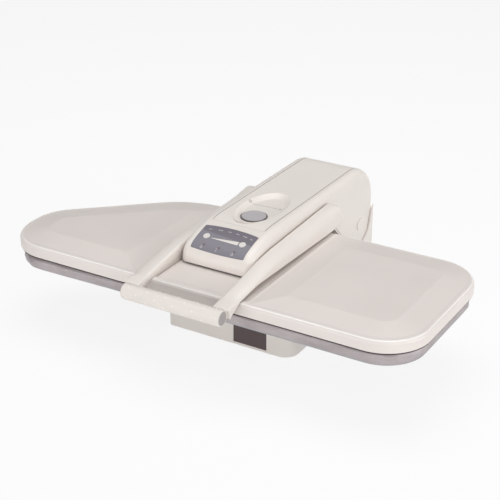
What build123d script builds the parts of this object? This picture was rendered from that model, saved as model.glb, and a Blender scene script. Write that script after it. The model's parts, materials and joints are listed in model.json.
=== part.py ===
from build123d import *
import os
from math import asin, atan2, cos, degrees, radians, sin, sqrt

os.makedirs("parts", exist_ok=True)

# Compact steam ironing press, closed and locked. Millimetres and degrees.
# +Z is up, -Y is the side the user stands at, and the origin is on the table under the middle.

# Pressing plate outline: straight front, two round right corners, a tapered left end
plate_length = 660.0
plate_depth = 266.5
plate_front = -208.0
corner_radius = 66.0
nose_radius = 70.0
shoulder_radius = 68.0
sweep_radius = 150.0
left_depth = 115.3136
taper_start = -161.5

# Plate cover, the white moulding on top
cover_foot = 118.0
cover_height = 17.0
cover_wall = 2.5
rim_radius = 6.0
crown_height = 5.0
crown_inset = 9.0
crown_slope = 36.0
channel_half = 86.0
channel_depth = 1.5
channel_slope = 9.0

# Heated sole plate and what is stacked on it
sole_thickness = 8.0
sole_clearance = 1.0
steam_hole_radius = 1.7
steam_hole_rows = 3
steam_hole_columns = 12
steam_hole_pitch = 40.0
steam_row_pitch = 32.0
heater_inset = 42.0
heater_width = 6.0
heater_height = 5.6
shield_gap = 0.4
shield_thickness = 0.8

# Padded ironing board
board_inset = 5.0
board_foot = 95.5
board_height = 19.5
board_edge_radius = 5.0
fabric_thickness = 1.2
fabric_side = 1.7
hem_thickness = 0.7
hem_width = 24.0
tray_thickness = 2.0
soft_gap = 0.3
press_gap = 0.3

# Base
foot_height = 2.5
foot_radius = 12.0
base_foot = 2.0
base_top = 84.0
base_front = -103.0
base_rear = 140.0
base_half = 105.0
base_corner = 22.0
base_left_corner = 6.0
base_edge = 4.0
base_wall = 2.8
floor_thickness = 2.5
rail_width = 24.0
rail_wall = 2.0
rail_half = 150.0
rail_front_y = -90.0
rail_rear_y = -10.0

# Hinge and rear column
hinge_y = 204.0
hinge_z = 85.0
axle_radius = 4.5
cheek_radius = 40.0
open_angle = 50.0
column_rear = 253.0
column_wall = 2.5
column_rear_top = 60.0
ear_radius = 33.5
ear_top = 104.0
upright_thickness = 4.0
upright_half = 45.0
clevis_half = 7.6
frame_floor = 4.0
cheek_gap = 0.6

# Head housing
housing_half = 58.0
housing_top = 180.0
housing_bottom = 136.5
housing_wall = 2.5
housing_round = 12.0
head_rear = 252.0
rear_foot = 78.0
rear_radius = 60.0
crown_start = -45.0
crown_end = -122.0
roof_radius = 207.0
chin_height = 2.6
panel_half = 43.0
panel_front = -74.0
panel_rear = 226.0
skin = 1.2
groove = 0.4

# Steam button and its scoop
button_y = -30.0
button_radius = 18.2
button_travel = 3.0
scoop_y = -5.0
scoop_half_width = 33.0
scoop_half_length = 60.0
scoop_floor_width = 26.0
scoop_floor_length = 48.0
scoop_depth = 5.5

# Control fascia and its two keys
fascia_half = 43.5
fascia_y = -111.0
fascia_up = 21.8
fascia_down = 23.8
key_x = 29.5
key_radius = 5.0
key_travel = 0.8
lens_pitch = 25.0
lens_radius = 1.8

# Head frame and mechanism
frame_half = 37.0
frame_wall = 3.0
frame_front = -108.0
frame_seat = 141.0
pivot_y = 82.0
pivot_z = 150.8
shaft_radius = 6.0
crank_radius = 20.0
link_arm = 12.0
link_pin_radius = 2.5
link_half = 3.0
link_width = 7.0
stud_x = 28.0
stud_front_y = -85.0
stud_rear_y = 25.0
stud_radius = 4.0
stud_collar = 7.0
pump_front = -60.0
pump_rear = -42.0
pipe_radius = 3.0

# Handle
arm_inner = 60.0
arm_outer = 84.0
arm_round = 1.5
arm_shoulder = 6.5
grip_y = -243.0
grip_z = 127.5
grip_radius = 11.5
grip_bore = 8.0
grip_half = 78.6
cap_radius = 9.5
cap_depth = 2.5

# Fits
running_fit = 0.05
clearance = 0.3
hole_clearance = 0.4
open_pivot_play = 0.25
gap_under_head = 0.8

# Values worked out from the driving sizes
plate_right = plate_length / 2
plate_left = -plate_length / 2
plate_rear = plate_front + plate_depth
shoulder_y = plate_front + left_depth
cover_rim = cover_foot + cover_height
channel_floor = cover_rim - channel_depth
cover_ceiling = channel_floor - cover_wall
board_top = board_foot + board_height
sole_foot = board_top + press_gap
sole_top = sole_foot + sole_thickness
heater_top = sole_top + heater_height
shield_foot = heater_top + shield_gap
tray_foot = board_foot + hem_thickness + soft_gap
tray_top = tray_foot + tray_thickness
tray_inset = board_inset + fabric_side + soft_gap
pad_foot = tray_top + soft_gap
pad_top = board_top - fabric_thickness - soft_gap
floor_foot = foot_height
floor_top = floor_foot + floor_thickness
frame_base = floor_top
frame_base_top = frame_base + frame_floor
column_half = housing_half + cheek_gap + column_wall
cavity_half = housing_half - housing_wall
crown_turn = degrees(asin((crown_start - crown_end) / roof_radius))
crown_drop = roof_radius * (1 - cos(radians(crown_turn)))
front_height = housing_top - crown_drop - chin_height - housing_bottom
front_radius = front_height / cos(radians(crown_turn))
housing_rim_round = min(housing_round, front_radius - housing_wall)
scoop_floor = housing_top - scoop_depth
button_foot = scoop_floor - 5.0
upright_inner = upright_half - upright_thickness
clevis_inner = link_half + running_fit + 0.55
slope_sum = hinge_y + hinge_z - cheek_radius * sqrt(2)
break_y = slope_sum - housing_bottom
handle_ratio = link_arm / crank_radius
frame_top = frame_seat + frame_wall
pipe_y = (pump_front + pump_rear) / 2

# The toggle: a crank on the handle shaft, a link, and a fixed pin beside the hinge axle.
# Both crank arms stand square to the line between the pivots in the middle of the travel.
axis_lean = degrees(atan2(pivot_z - hinge_z, hinge_y - pivot_y))
crank_lean = axis_lean - handle_ratio * open_angle / 2
fixed_lean = axis_lean + open_angle / 2
crank_y = pivot_y + crank_radius * sin(radians(crank_lean))
crank_z = pivot_z + crank_radius * cos(radians(crank_lean))
anchor_y = hinge_y - link_arm * sin(radians(fixed_lean))
anchor_z = hinge_z - link_arm * cos(radians(fixed_lean))
# The link turns with the head, so its eye at the crank is opened by what both arms sag in their swing.
fixed_sag = link_arm * (1 - cos(radians(open_angle / 2)))
crank_sag = crank_radius * (1 - cos(radians(handle_ratio * open_angle / 2)))
open_pivot_sag = (fixed_sag + crank_sag) / 2
eye_y = crank_y + open_pivot_sag * sin(radians(axis_lean))
eye_z = crank_z + open_pivot_sag * cos(radians(axis_lean))
eye_bore = link_pin_radius + open_pivot_sag + open_pivot_play


# Shared outlines
def plate_outline(inset):
    """The pressing plate seen from above, drawn in from its edge by the inset."""
    corners = [
        (plate_left, plate_front),
        (plate_right, plate_front),
        (plate_right, plate_rear),
        (taper_start, plate_rear),
        (plate_left, shoulder_y),
    ]
    radii = [nose_radius, corner_radius, corner_radius, sweep_radius, shoulder_radius]
    with BuildSketch() as outline:
        with BuildLine():
            FilletPolyline(*corners, radius=radii, close=True)
        make_face()
        if inset:
            offset(amount=-inset)
    return outline.sketch


def housing_profile(inset):
    """The head housing seen from its right side, drawn in from its skin by the inset."""
    rear = head_rear - inset
    top = housing_top - inset
    turn = radians(225)
    tangent = (hinge_y + cheek_radius * cos(turn), hinge_z + cheek_radius * sin(turn))
    with BuildSketch() as profile:
        with BuildLine():
            back = Line((rear, rear_foot), (rear, top - rear_radius + inset))
            shoulder = JernArc(back @ 1, back % 1, rear_radius - inset, 90)
            roof = Line(shoulder @ 1, (crown_start, top))
            crown = JernArc(roof @ 1, roof % 1, roof_radius - inset, crown_turn)
            front = JernArc(crown @ 1, crown % 1, front_radius - inset, 90 - crown_turn)
            nose_y = (front @ 1).X
            chin = Line(front @ 1, (nose_y, housing_bottom))
            belly = Line(chin @ 1, (break_y, housing_bottom))
            slope = Line(belly @ 1, tangent)
            cheek = CenterArc((hinge_y, hinge_z), cheek_radius, 225, 100)
            Line(cheek @ 1, back @ 0)
        make_face()
    return profile.sketch


def housing_cavity():
    """The hollow inside the housing, which runs out through its open underside."""
    rear = head_rear - housing_wall
    top = housing_top - housing_wall
    drop = housing_wall * 3
    low = hinge_z - cheek_radius - drop
    with BuildSketch() as profile:
        with BuildLine():
            back = Line((rear, rear_foot), (rear, top - rear_radius + housing_wall))
            shoulder = JernArc(back @ 1, back % 1, rear_radius - housing_wall, 90)
            roof = Line(shoulder @ 1, (crown_start, top))
            crown = JernArc(roof @ 1, roof % 1, roof_radius - housing_wall, crown_turn)
            front = JernArc(crown @ 1, crown % 1, front_radius - housing_wall, 90 - crown_turn)
            Polyline(
                front @ 1,
                ((front @ 1).X, housing_bottom - drop),
                (break_y, housing_bottom - drop),
                (slope_sum - low - drop, low),
                (head_rear + drop, low),
                (head_rear + drop, rear_foot),
                back @ 0,
            )
        make_face()
    return profile.sketch


def skin_band(depth):
    """The outermost layer of the housing's profile, as deep as asked."""
    with BuildSketch() as band:
        add(housing_profile(0))
        add(housing_profile(depth), mode=Mode.SUBTRACT)
    return band.sketch


def crown_y_z(y):
    """Height of the roof's front curve at a given distance from the middle."""
    run = crown_start - y
    return housing_top - roof_radius + sqrt(roof_radius**2 - run**2)


def rod(radius, x_from, x_to, y, z):
    """A round bar along X."""
    with BuildPart() as bar:
        with BuildSketch(Plane.YZ.offset(x_from)):
            with Locations((y, z)):
                Circle(radius)
        extrude(amount=x_to - x_from)
    return bar.part


def tube(outer, inner, x_from, x_to, y, z):
    """A round sleeve along X."""
    with BuildPart() as sleeve:
        with BuildSketch(Plane.YZ.offset(x_from)):
            with Locations((y, z)):
                Circle(outer)
                Circle(inner, mode=Mode.SUBTRACT)
        extrude(amount=x_to - x_from)
    return sleeve.part


# Base casing: the rounded box that stands under the board
base_depth = base_rear - base_front
base_middle = (base_rear + base_front) / 2
boss_radius = 6.0
screw_radius = 2.0
screw_head = 4.0
boss_side_inset = 22.0
boss_end_inset = 52.0
boss_x = base_half - boss_side_inset
boss_y = base_depth / 2 - boss_end_inset
screw_length = 28.0
plate_x = 36.5
plate_width = 55.0
plate_foot = 6.0
plate_top = 50.0
plate_recess = 1.0



def base_outline(inset):
    """The base seen from above: tight corners on the left, wide ones on the right."""
    half = base_half - inset
    front = base_front + inset
    rear = base_rear - inset
    wide = base_corner - inset
    tight = base_left_corner - inset
    with BuildSketch() as outline:
        with BuildLine():
            FilletPolyline(
                (-half, front),
                (half, front),
                (half, rear),
                (-half, rear),
                radius=[tight, wide, wide, tight],
                close=True,
            )
        make_face()
    return outline.sketch


with BuildPart() as base_casing:
    with BuildSketch(Plane.XY.offset(base_foot)):
        add(base_outline(0))
    extrude(amount=base_top - base_foot)
    fillet(base_casing.faces().sort_by(Axis.Z)[-1].edges(), radius=base_edge)
    with BuildSketch(Plane.XY.offset(base_foot)):
        add(base_outline(base_wall))
    extrude(amount=base_top - base_foot - base_wall, mode=Mode.SUBTRACT)
    with BuildSketch(Plane.XY.offset(floor_top)):
        with Locations((0, base_middle)):
            with GridLocations(2 * boss_x, 2 * boss_y, 2, 2):
                Circle(boss_radius)
    extrude(amount=base_top - base_wall - floor_top)
    with BuildSketch(Plane.XY.offset(floor_top)):
        with Locations((0, base_middle)):
            with GridLocations(2 * boss_x, 2 * boss_y, 2, 2):
                Circle(screw_radius)
    extrude(amount=screw_length, mode=Mode.SUBTRACT)
    with BuildSketch(Plane.XZ.offset(-base_front)):
        with Locations((plate_x, (plate_foot + plate_top) / 2)):
            Rectangle(plate_width + 2 * clearance, plate_top - plate_foot + 2 * clearance)
    extrude(amount=-plate_recess, mode=Mode.SUBTRACT)
    with BuildSketch(Plane.XZ.offset(-base_rear)):
        with Locations((0, (base_foot + frame_base_top + clearance) / 2)):
            Rectangle(
                2 * (upright_half + clearance),
                frame_base_top + clearance - base_foot,
            )
    extrude(amount=2 * base_wall, both=True, mode=Mode.SUBTRACT)

base_casing.part.label = "base_casing"
export_step(base_casing.part, "parts/base_casing.step")

# Bare dark plate let into the casing's front
with BuildPart() as front_plate:
    with BuildSketch(Plane.XZ.offset(-base_front)):
        with Locations((plate_x, (plate_foot + plate_top) / 2)):
            Rectangle(plate_width, plate_top - plate_foot)
    extrude(amount=-plate_recess)

front_plate.part.label = "front_plate"
export_step(front_plate.part, "parts/front_plate.step")

# Base floor with the holes for its screws
with BuildPart() as base_floor:
    with BuildSketch(Plane.XY.offset(floor_foot)):
        add(base_outline(base_wall + clearance))
        with Locations((0, base_middle)):
            with GridLocations(2 * boss_x, 2 * boss_y, 2, 2):
                Circle(screw_radius, mode=Mode.SUBTRACT)
    extrude(amount=floor_thickness)

base_floor.part.label = "base_floor"
export_step(base_floor.part, "parts/base_floor.step")

# Screws that hold the floor in the casing's posts
with BuildPart() as floor_screws:
    with BuildSketch(Plane.XY.offset(base_foot)):
        with Locations((0, base_middle)):
            with GridLocations(2 * boss_x, 2 * boss_y, 2, 2):
                Circle(screw_head)
    extrude(amount=floor_foot - base_foot)
    with BuildSketch(Plane.XY.offset(floor_foot)):
        with Locations((0, base_middle)):
            with GridLocations(2 * boss_x, 2 * boss_y, 2, 2):
                Circle(screw_radius)
    extrude(amount=screw_length)

floor_screws.part.label = "floor_screws"
export_step(floor_screws.part, "parts/floor_screws.step")

# Rear column: side walls that stand beside the head's cheeks, and a low back wall
column_front = base_rear + clearance
gland_x = 34.0
gland_z = 24.0
gland_radius = 7.0
ear_lean_y = 242.0
ear_lean_z = 101.0
ear_nip = 4.0
ear_swing = 82.0
column_corner = 8.0
column_shelf = hinge_z - ear_radius

with BuildPart() as column_cover:
    with BuildSketch(Plane.YZ):
        with BuildLine():
            bowl = CenterArc((hinge_y, hinge_z), ear_radius, 270, ear_swing)
            rise = Line(bowl @ 1, (ear_lean_y, ear_lean_z))
            brow = Line(rise @ 1, (column_rear - ear_nip, ear_top))
            Polyline(
                brow @ 1,
                (column_rear, ear_top - ear_nip),
                (column_rear, base_foot),
                (column_front, base_foot),
                (column_front, column_shelf),
                bowl @ 0,
            )
        make_face()
    extrude(amount=column_half, both=True)
    fillet(column_cover.edges().filter_by(Axis.Z).sort_by(Axis.Y)[-2:], radius=column_corner)
    with BuildSketch(Plane.XY.offset(floor_top)):
        with Locations((0, (column_front + column_rear - column_wall) / 2)):
            Rectangle(2 * (column_half - column_wall), column_rear - column_wall - column_front)
    extrude(amount=ear_top, mode=Mode.SUBTRACT)
    with BuildSketch(Plane.XY.offset(column_rear_top)):
        with Locations((0, column_rear)):
            Rectangle(2 * (column_half - column_wall), 4 * column_wall)
    extrude(amount=ear_top, mode=Mode.SUBTRACT)
    with BuildSketch(Plane.XY.offset(base_foot)):
        with Locations((0, (column_front + column_rear) / 2)):
            Rectangle(
                2 * (column_half - column_wall),
                column_rear - column_front - 2 * column_wall,
            )
    extrude(amount=floor_foot - base_foot, mode=Mode.SUBTRACT)
    with BuildSketch(Plane.XZ.offset(-column_rear)):
        with Locations((gland_x, gland_z)):
            Circle(gland_radius)
    extrude(amount=2 * column_wall, both=True, mode=Mode.SUBTRACT)

column_cover.part.label = "column_cover"
export_step(column_cover.part, "parts/column_cover.step")

# Cord gland in the back wall, with its cord bore empty
gland_flange = 1.5
gland_bore = 3.6
gland_rim = 2.0

with BuildPart() as cord_gland:
    with BuildSketch(Plane.XZ.offset(-(column_rear - column_wall - gland_flange))):
        with Locations((gland_x, gland_z)):
            Circle(gland_radius - running_fit)
    extrude(amount=-(column_wall + gland_flange))
    with BuildSketch(Plane.XZ.offset(-column_rear)):
        with Locations((gland_x, gland_z)):
            Circle(gland_radius + gland_rim)
    extrude(amount=-gland_flange)
    with BuildSketch(Plane.XZ.offset(-column_rear)):
        with Locations((gland_x, gland_z)):
            Circle(gland_bore)
    extrude(amount=4 * column_wall, both=True, mode=Mode.SUBTRACT)

cord_gland.part.label = "cord_gland"
export_step(cord_gland.part, "parts/cord_gland.step")

# Rubber feet under the four corners, the rear pair under the column
foot_inset = 18.0
foot_margin = 1.0
foot_chamfer = 0.6
foot_x = base_half - foot_inset
foot_front_y = base_front + foot_inset
rear_foot_x = column_half - column_wall - foot_radius - foot_margin
rear_foot_y = column_rear - column_wall - foot_radius - 2 * foot_margin

with BuildPart() as rubber_feet:
    with BuildSketch():
        with Locations(
            (-foot_x, foot_front_y),
            (foot_x, foot_front_y),
            (-rear_foot_x, rear_foot_y),
            (rear_foot_x, rear_foot_y),
        ):
            Circle(foot_radius)
    extrude(amount=foot_height)
    chamfer(rubber_feet.faces().sort_by(Axis.Z)[0].edges(), length=foot_chamfer)

rubber_feet.part.label = "rubber_feet"
export_step(rubber_feet.part, "parts/rubber_feet.step")

# Steel hinge frame: floor, two uprights and the clevis that holds the toggle's fixed pin
frame_start = 30.0
upright_eye = 15.0
upright_foot = 34.0
clevis_eye = 9.5
diagonal = sqrt(0.5)
axle_overhang = 1.0
axle_chamfer = 0.6

with BuildPart() as hinge_frame:
    with BuildSketch(Plane.XY.offset(frame_base)):
        with Locations((0, (frame_start + rear_foot_y) / 2)):
            Rectangle(2 * upright_half, rear_foot_y - frame_start)
    extrude(amount=frame_floor)
    for x in (-upright_half, upright_inner):
        with BuildSketch(Plane.YZ.offset(x)):
            with Locations((hinge_y, hinge_z)):
                Circle(upright_eye)
            Polygon(
                (hinge_y - upright_foot / 2, frame_base),
                (hinge_y + upright_foot / 2, frame_base),
                (hinge_y + upright_eye, hinge_z),
                (hinge_y - upright_eye, hinge_z),
                align=None,
            )
        extrude(amount=upright_thickness)
    for x in (-clevis_half, clevis_inner):
        with BuildSketch(Plane.YZ.offset(x)):
            with Locations((hinge_y, hinge_z), (anchor_y, anchor_z)):
                Circle(clevis_eye)
            Polygon(
                (hinge_y - upright_foot / 2, frame_base),
                (hinge_y + upright_foot / 2, frame_base),
                (hinge_y + clevis_eye, hinge_z),
                (hinge_y, hinge_z + clevis_eye),
                (anchor_y - clevis_eye * diagonal, anchor_z + clevis_eye * diagonal),
                (anchor_y - clevis_eye, anchor_z),
                align=None,
            )
        extrude(amount=clevis_half - clevis_inner)
    with BuildSketch(Plane.YZ):
        with Locations((hinge_y, hinge_z)):
            Circle(axle_radius)
    extrude(amount=base_half, both=True, mode=Mode.SUBTRACT)
    with BuildSketch(Plane.YZ):
        with Locations((anchor_y, anchor_z)):
            Circle(link_pin_radius)
    extrude(amount=clevis_half * 2, both=True, mode=Mode.SUBTRACT)

hinge_frame.part.label = "hinge_frame"
export_step(hinge_frame.part, "parts/hinge_frame.step")

# Hinge axle through both uprights and the clevis
with BuildPart() as hinge_axle:
    axle_end = upright_half + axle_overhang
    add(rod(axle_radius, -axle_end, axle_end, hinge_y, hinge_z))
    chamfer(hinge_axle.edges().filter_by(GeomType.CIRCLE), length=axle_chamfer)

hinge_axle.part.label = "hinge_axle"
export_step(hinge_axle.part, "parts/hinge_axle.step")

# Fixed pin of the toggle, held in the clevis
with BuildPart() as anchor_pin:
    add(rod(link_pin_radius, -clevis_half, clevis_half, anchor_y, anchor_z))

anchor_pin.part.label = "anchor_pin"
export_step(anchor_pin.part, "parts/anchor_pin.step")

# Counterbalance springs: torsion springs on the axle that help the head up
spring_wire = 3.0
spring_inner = axle_radius + clearance
bush_overhang = 1.0
spring_start = clevis_half + bush_overhang
spring_end = frame_half - frame_wall - 2.5 * bush_overhang
spring_turns = int((spring_end - spring_start) / spring_wire)
rib_share = 0.7

with BuildPart() as counterbalance_springs:
    for side in (-1, 1):
        first = spring_start if side > 0 else -spring_start - spring_turns * spring_wire
        add(tube(
            spring_inner + spring_wire * rib_share,
            spring_inner,
            first,
            first + spring_turns * spring_wire,
            hinge_y,
            hinge_z,
        ))
        for turn in range(spring_turns):
            start = first + (turn + (1 - rib_share) / 2) * spring_wire
            add(tube(
                spring_inner + spring_wire,
                spring_inner,
                start,
                start + spring_wire * rib_share,
                hinge_y,
                hinge_z,
            ))

counterbalance_springs.part.label = "counterbalance_springs"
export_step(counterbalance_springs.part, "parts/counterbalance_springs.step")

# Spacers that keep the head frame centred between the uprights
spacer_gap = 0.2
spacer_wall = 3.5

with BuildPart() as axle_spacers:
    for side in (-1, 1):
        inner_end = frame_half + bush_overhang + spacer_gap
        outer_end = upright_inner
        start, end = sorted((side * inner_end, side * outer_end))
        add(tube(axle_radius + spacer_wall, axle_radius, start, end, hinge_y, hinge_z))

axle_spacers.part.label = "axle_spacers"
export_step(axle_spacers.part, "parts/axle_spacers.step")

# Terminal block on the frame floor, where the cord's wires end
block_width = 30.0
block_depth = 14.0
block_height = 12.0
block_ways = 3
block_x = -18.0
block_inset = 20.0
block_y = frame_start + block_inset
block_hole = 2.2

with BuildPart() as terminal_block:
    with BuildSketch(Plane.XY.offset(frame_base_top)):
        with Locations((block_x, block_y)):
            Rectangle(block_width, block_depth)
    extrude(amount=block_height)
    with BuildSketch(Plane.XY.offset(frame_base_top + block_height)):
        with Locations((block_x, block_y)):
            with GridLocations(block_width / block_ways, 0, block_ways, 1):
                Circle(block_hole)
    extrude(amount=-block_height / 2, mode=Mode.SUBTRACT)

terminal_block.part.label = "terminal_block"
export_step(terminal_block.part, "parts/terminal_block.step")

# Rails that carry the board across the base
rail_height = tray_foot - base_top

with BuildPart() as board_rails:
    for y in (rail_front_y, rail_rear_y):
        with BuildSketch(Plane.YZ):
            with Locations((y, base_top + rail_height / 2)):
                Rectangle(rail_width, rail_height)
            with Locations((y, base_top + (rail_height - rail_wall) / 2)):
                Rectangle(
                    rail_width - 2 * rail_wall,
                    rail_height - rail_wall,
                    mode=Mode.SUBTRACT,
                )
        extrude(amount=rail_half, both=True)

board_rails.part.label = "board_rails"
export_step(board_rails.part, "parts/board_rails.step")

# Board tray, the pressed sheet that stiffens the board
with BuildPart() as board_tray:
    with BuildSketch(Plane.XY.offset(tray_foot)):
        add(plate_outline(tray_inset))
    extrude(amount=tray_thickness)

board_tray.part.label = "board_tray"
export_step(board_tray.part, "parts/board_tray.step")

# Foam pad on the tray, rounded where the fabric is drawn over it
pad_round = board_edge_radius - fabric_side - soft_gap


def pad_block(foot, top, inset, radius):
    """The pad's outline as a block with a round upper edge."""
    with BuildPart() as block:
        with BuildSketch(Plane.XY.offset(foot)):
            add(plate_outline(inset))
        extrude(amount=top - foot)
        fillet(block.faces().sort_by(Axis.Z)[-1].edges(), radius=radius)
    return block.part


with BuildPart() as board_pad:
    add(pad_block(pad_foot, pad_top, tray_inset, pad_round))

board_pad.part.label = "board_pad"
export_step(board_pad.part, "parts/board_pad.step")

# Fabric board cover, drawn over the pad and hemmed under the tray
board_hollow = pad_block(
    tray_foot - soft_gap,
    pad_top + soft_gap,
    board_inset + fabric_side,
    pad_round + soft_gap,
)

with BuildPart() as board_cover:
    add(pad_block(board_foot, board_top, board_inset, board_edge_radius))
    add(board_hollow, mode=Mode.SUBTRACT)
    with BuildSketch(Plane.XY.offset(board_foot)):
        add(plate_outline(board_inset + hem_width))
    extrude(amount=hem_thickness, mode=Mode.SUBTRACT)

board_cover.part.label = "board_cover"
export_step(board_cover.part, "parts/board_cover.step")

# Sole plate: the heated casting, with its steam holes in rows under the chamber
sole_inset = cover_wall + sole_clearance
stud_places = [(x, y) for x in (-stud_x, stud_x) for y in (stud_front_y, stud_rear_y)]
plate_middle = plate_front + plate_depth / 2
sole_chamfer = 1.0

with BuildPart() as sole_plate:
    with BuildSketch(Plane.XY.offset(sole_foot)):
        add(plate_outline(sole_inset))
        with Locations((0, plate_middle)):
            with GridLocations(steam_hole_pitch, steam_row_pitch, steam_hole_columns, steam_hole_rows):
                Circle(steam_hole_radius, mode=Mode.SUBTRACT)
    extrude(amount=sole_thickness)
    chamfer(sole_plate.faces().sort_by(Axis.Z)[0].outer_wire().edges(), length=sole_chamfer)

sole_plate.part.label = "sole_plate"
export_step(sole_plate.part, "parts/sole_plate.step")

# Heating element: a rail that follows the plate's outline on top of the casting
with BuildPart() as heating_element:
    with BuildSketch(Plane.XY.offset(sole_top)):
        add(plate_outline(heater_inset))
        add(plate_outline(heater_inset + heater_width), mode=Mode.SUBTRACT)
    extrude(amount=heater_height)

heating_element.part.label = "heating_element"
export_step(heating_element.part, "parts/heating_element.step")

# Steam chamber lid between the studs
lid_half = stud_x - stud_collar - 1.0
lid_reach = 30.0
lid_setback = 20.0
lid_front = stud_front_y - lid_reach
lid_rear = stud_rear_y - lid_setback
lid_height = heater_height - clearance
lid_corner = 6.0
lid_edge = 1.5

with BuildPart() as steam_chamber:
    with BuildSketch(Plane.XY.offset(sole_top)):
        with Locations((0, (lid_front + lid_rear) / 2)):
            RectangleRounded(2 * lid_half, lid_rear - lid_front, lid_corner)
    extrude(amount=lid_height)
    fillet(steam_chamber.faces().sort_by(Axis.Z)[-1].edges(), radius=lid_edge)

steam_chamber.part.label = "steam_chamber"
export_step(steam_chamber.part, "parts/steam_chamber.step")

# Thermostat on the casting
thermostat_x = 75.0
thermostat_radius = 9.0

with BuildPart() as thermostat:
    with BuildSketch(Plane.XY.offset(sole_top)):
        with Locations((thermostat_x, plate_middle)):
            Circle(thermostat_radius)
    extrude(amount=heater_height / 2)
    with BuildSketch(Plane.XY.offset(sole_top)):
        with Locations((thermostat_x, plate_middle)):
            Circle(thermostat_radius / 2)
    extrude(amount=heater_height)

thermostat.part.label = "thermostat"
export_step(thermostat.part, "parts/thermostat.step")

# Heat shield sheet over the element
with BuildPart() as heat_shield:
    with BuildSketch(Plane.XY.offset(shield_foot)):
        add(plate_outline(sole_inset))
        with Locations(*stud_places):
            Circle(stud_radius + hole_clearance, mode=Mode.SUBTRACT)
        with Locations((0, pipe_y)):
            Circle(pipe_radius + hole_clearance, mode=Mode.SUBTRACT)
    extrude(amount=shield_thickness)

heat_shield.part.label = "heat_shield"
export_step(heat_shield.part, "parts/heat_shield.step")


def crown_panel(side, drop, inset):
    """One gently raised panel of the cover, left or right of the channel."""
    levels = []
    for height, draw_in in ((0, 0), (crown_height, crown_slope)):
        edge = side * (channel_half + channel_slope + inset + draw_in)
        with BuildSketch(Plane.XY.offset(cover_rim - drop + height)) as step:
            add(plate_outline(crown_inset + inset + draw_in))
            with Locations((edge - side * plate_length, plate_middle)):
                Rectangle(2 * plate_length, 2 * plate_depth, mode=Mode.SUBTRACT)
        levels.append(step.sketch)
    return levels


# Shallow trough under the arms, open at the back
trough_half = arm_outer + 2.0
trough_slope = 5.0
trough_front = plate_front + 14.0
joint_overlap = 0.05

# Plate cover: the white shell with two raised panels and the channel under the arms
with BuildPart() as plate_cover:
    with BuildSketch(Plane.XY.offset(cover_foot)):
        add(plate_outline(0))
    extrude(amount=cover_height)
    fillet(plate_cover.faces().sort_by(Axis.Z)[-1].edges(), radius=rim_radius)
    for side in (-1, 1):
        low, high = crown_panel(side, joint_overlap, 0)
        add(loft([low.face(), high.face()], ruled=True, mode=Mode.PRIVATE))
    for side in (-1, 1):
        low, high = crown_panel(side, cover_wall, cover_wall)
        add(loft([low.face(), high.face()], ruled=True, mode=Mode.PRIVATE), mode=Mode.SUBTRACT)
    with BuildSketch(Plane.XY.offset(cover_foot)):
        add(plate_outline(cover_wall))
    extrude(amount=cover_ceiling - cover_foot, mode=Mode.SUBTRACT)
    for half, front, height in (
        (trough_half, trough_front, channel_floor),
        (trough_half + trough_slope, trough_front - trough_slope, cover_rim + joint_overlap),
    ):
        with BuildSketch(Plane.XY.offset(height)):
            with Locations((0, front)):
                Rectangle(2 * half, 2 * plate_depth, align=(Align.CENTER, Align.MIN))
    loft(ruled=True, mode=Mode.SUBTRACT)
    with BuildSketch(Plane.XY.offset(cover_foot)):
        with Locations(*stud_places):
            Circle(stud_radius + hole_clearance)
        with Locations((0, pipe_y)):
            Circle(pipe_radius + hole_clearance)
    extrude(amount=2 * cover_height, mode=Mode.SUBTRACT)

plate_cover.part.label = "plate_cover"
export_step(plate_cover.part, "parts/plate_cover.step")

# Studs that hang the plate and its cover from the head frame
with BuildPart() as plate_studs:
    for start, end, radius in (
        (sole_top, channel_floor, stud_radius),
        (channel_floor, frame_seat, stud_collar),
    ):
        with BuildSketch(Plane.XY.offset(start)):
            with Locations(*stud_places):
                Circle(radius)
        extrude(amount=end - start)

plate_studs.part.label = "plate_studs"
export_step(plate_studs.part, "parts/plate_studs.step")

# Steel head frame: a channel whose side plates run back to the hinge axle
frame_eye = 16.0
bush_wall = 2.5
shaft_bush_wall = 3.0
frame_floor_end = 60.0
frame_slope_gap = 6.0
wing_width = 20.0
wing_front_y = -55.0
wing_rear_y = 40.0
frame_rise = 15.0
wing_half = cavity_half - clearance

with BuildPart() as head_frame:
    with BuildSketch(Plane.XY.offset(frame_seat)):
        with Locations((0, (frame_front + frame_floor_end) / 2)):
            Rectangle(2 * frame_half, frame_floor_end - frame_front)
        with Locations((0, wing_front_y), (0, wing_rear_y)):
            Rectangle(2 * wing_half, wing_width)
        with Locations((0, pipe_y)):
            Circle(pipe_radius + hole_clearance, mode=Mode.SUBTRACT)
    extrude(amount=frame_wall)
    for x in (-frame_half, frame_half - frame_wall):
        with BuildSketch(Plane.YZ.offset(x)):
            with Locations((hinge_y, hinge_z)):
                Circle(frame_eye)
            Polygon(
                (frame_front, frame_seat),
                (slope_sum + frame_slope_gap - frame_seat, frame_seat),
                (hinge_y - frame_eye * diagonal, hinge_z - frame_eye * diagonal),
                (hinge_y + frame_eye * diagonal, hinge_z + frame_eye * diagonal),
                (pivot_y + frame_rise, pivot_z + frame_rise),
                (pivot_y - frame_rise, pivot_z + frame_rise),
                (wing_front_y, pivot_z + frame_rise),
                (frame_front, frame_seat + wing_width / 2),
                align=None,
            )
            with Locations((hinge_y, hinge_z)):
                Circle(axle_radius + bush_wall, mode=Mode.SUBTRACT)
            with Locations((pivot_y, pivot_z)):
                Circle(shaft_radius + shaft_bush_wall, mode=Mode.SUBTRACT)
        extrude(amount=frame_wall)

head_frame.part.label = "head_frame"
export_step(head_frame.part, "parts/head_frame.step")

# Bushes in the head frame: one pair runs on the axle, the other holds the handle shaft
bush_start = frame_half - frame_wall - bush_overhang
bush_end = frame_half + bush_overhang

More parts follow.
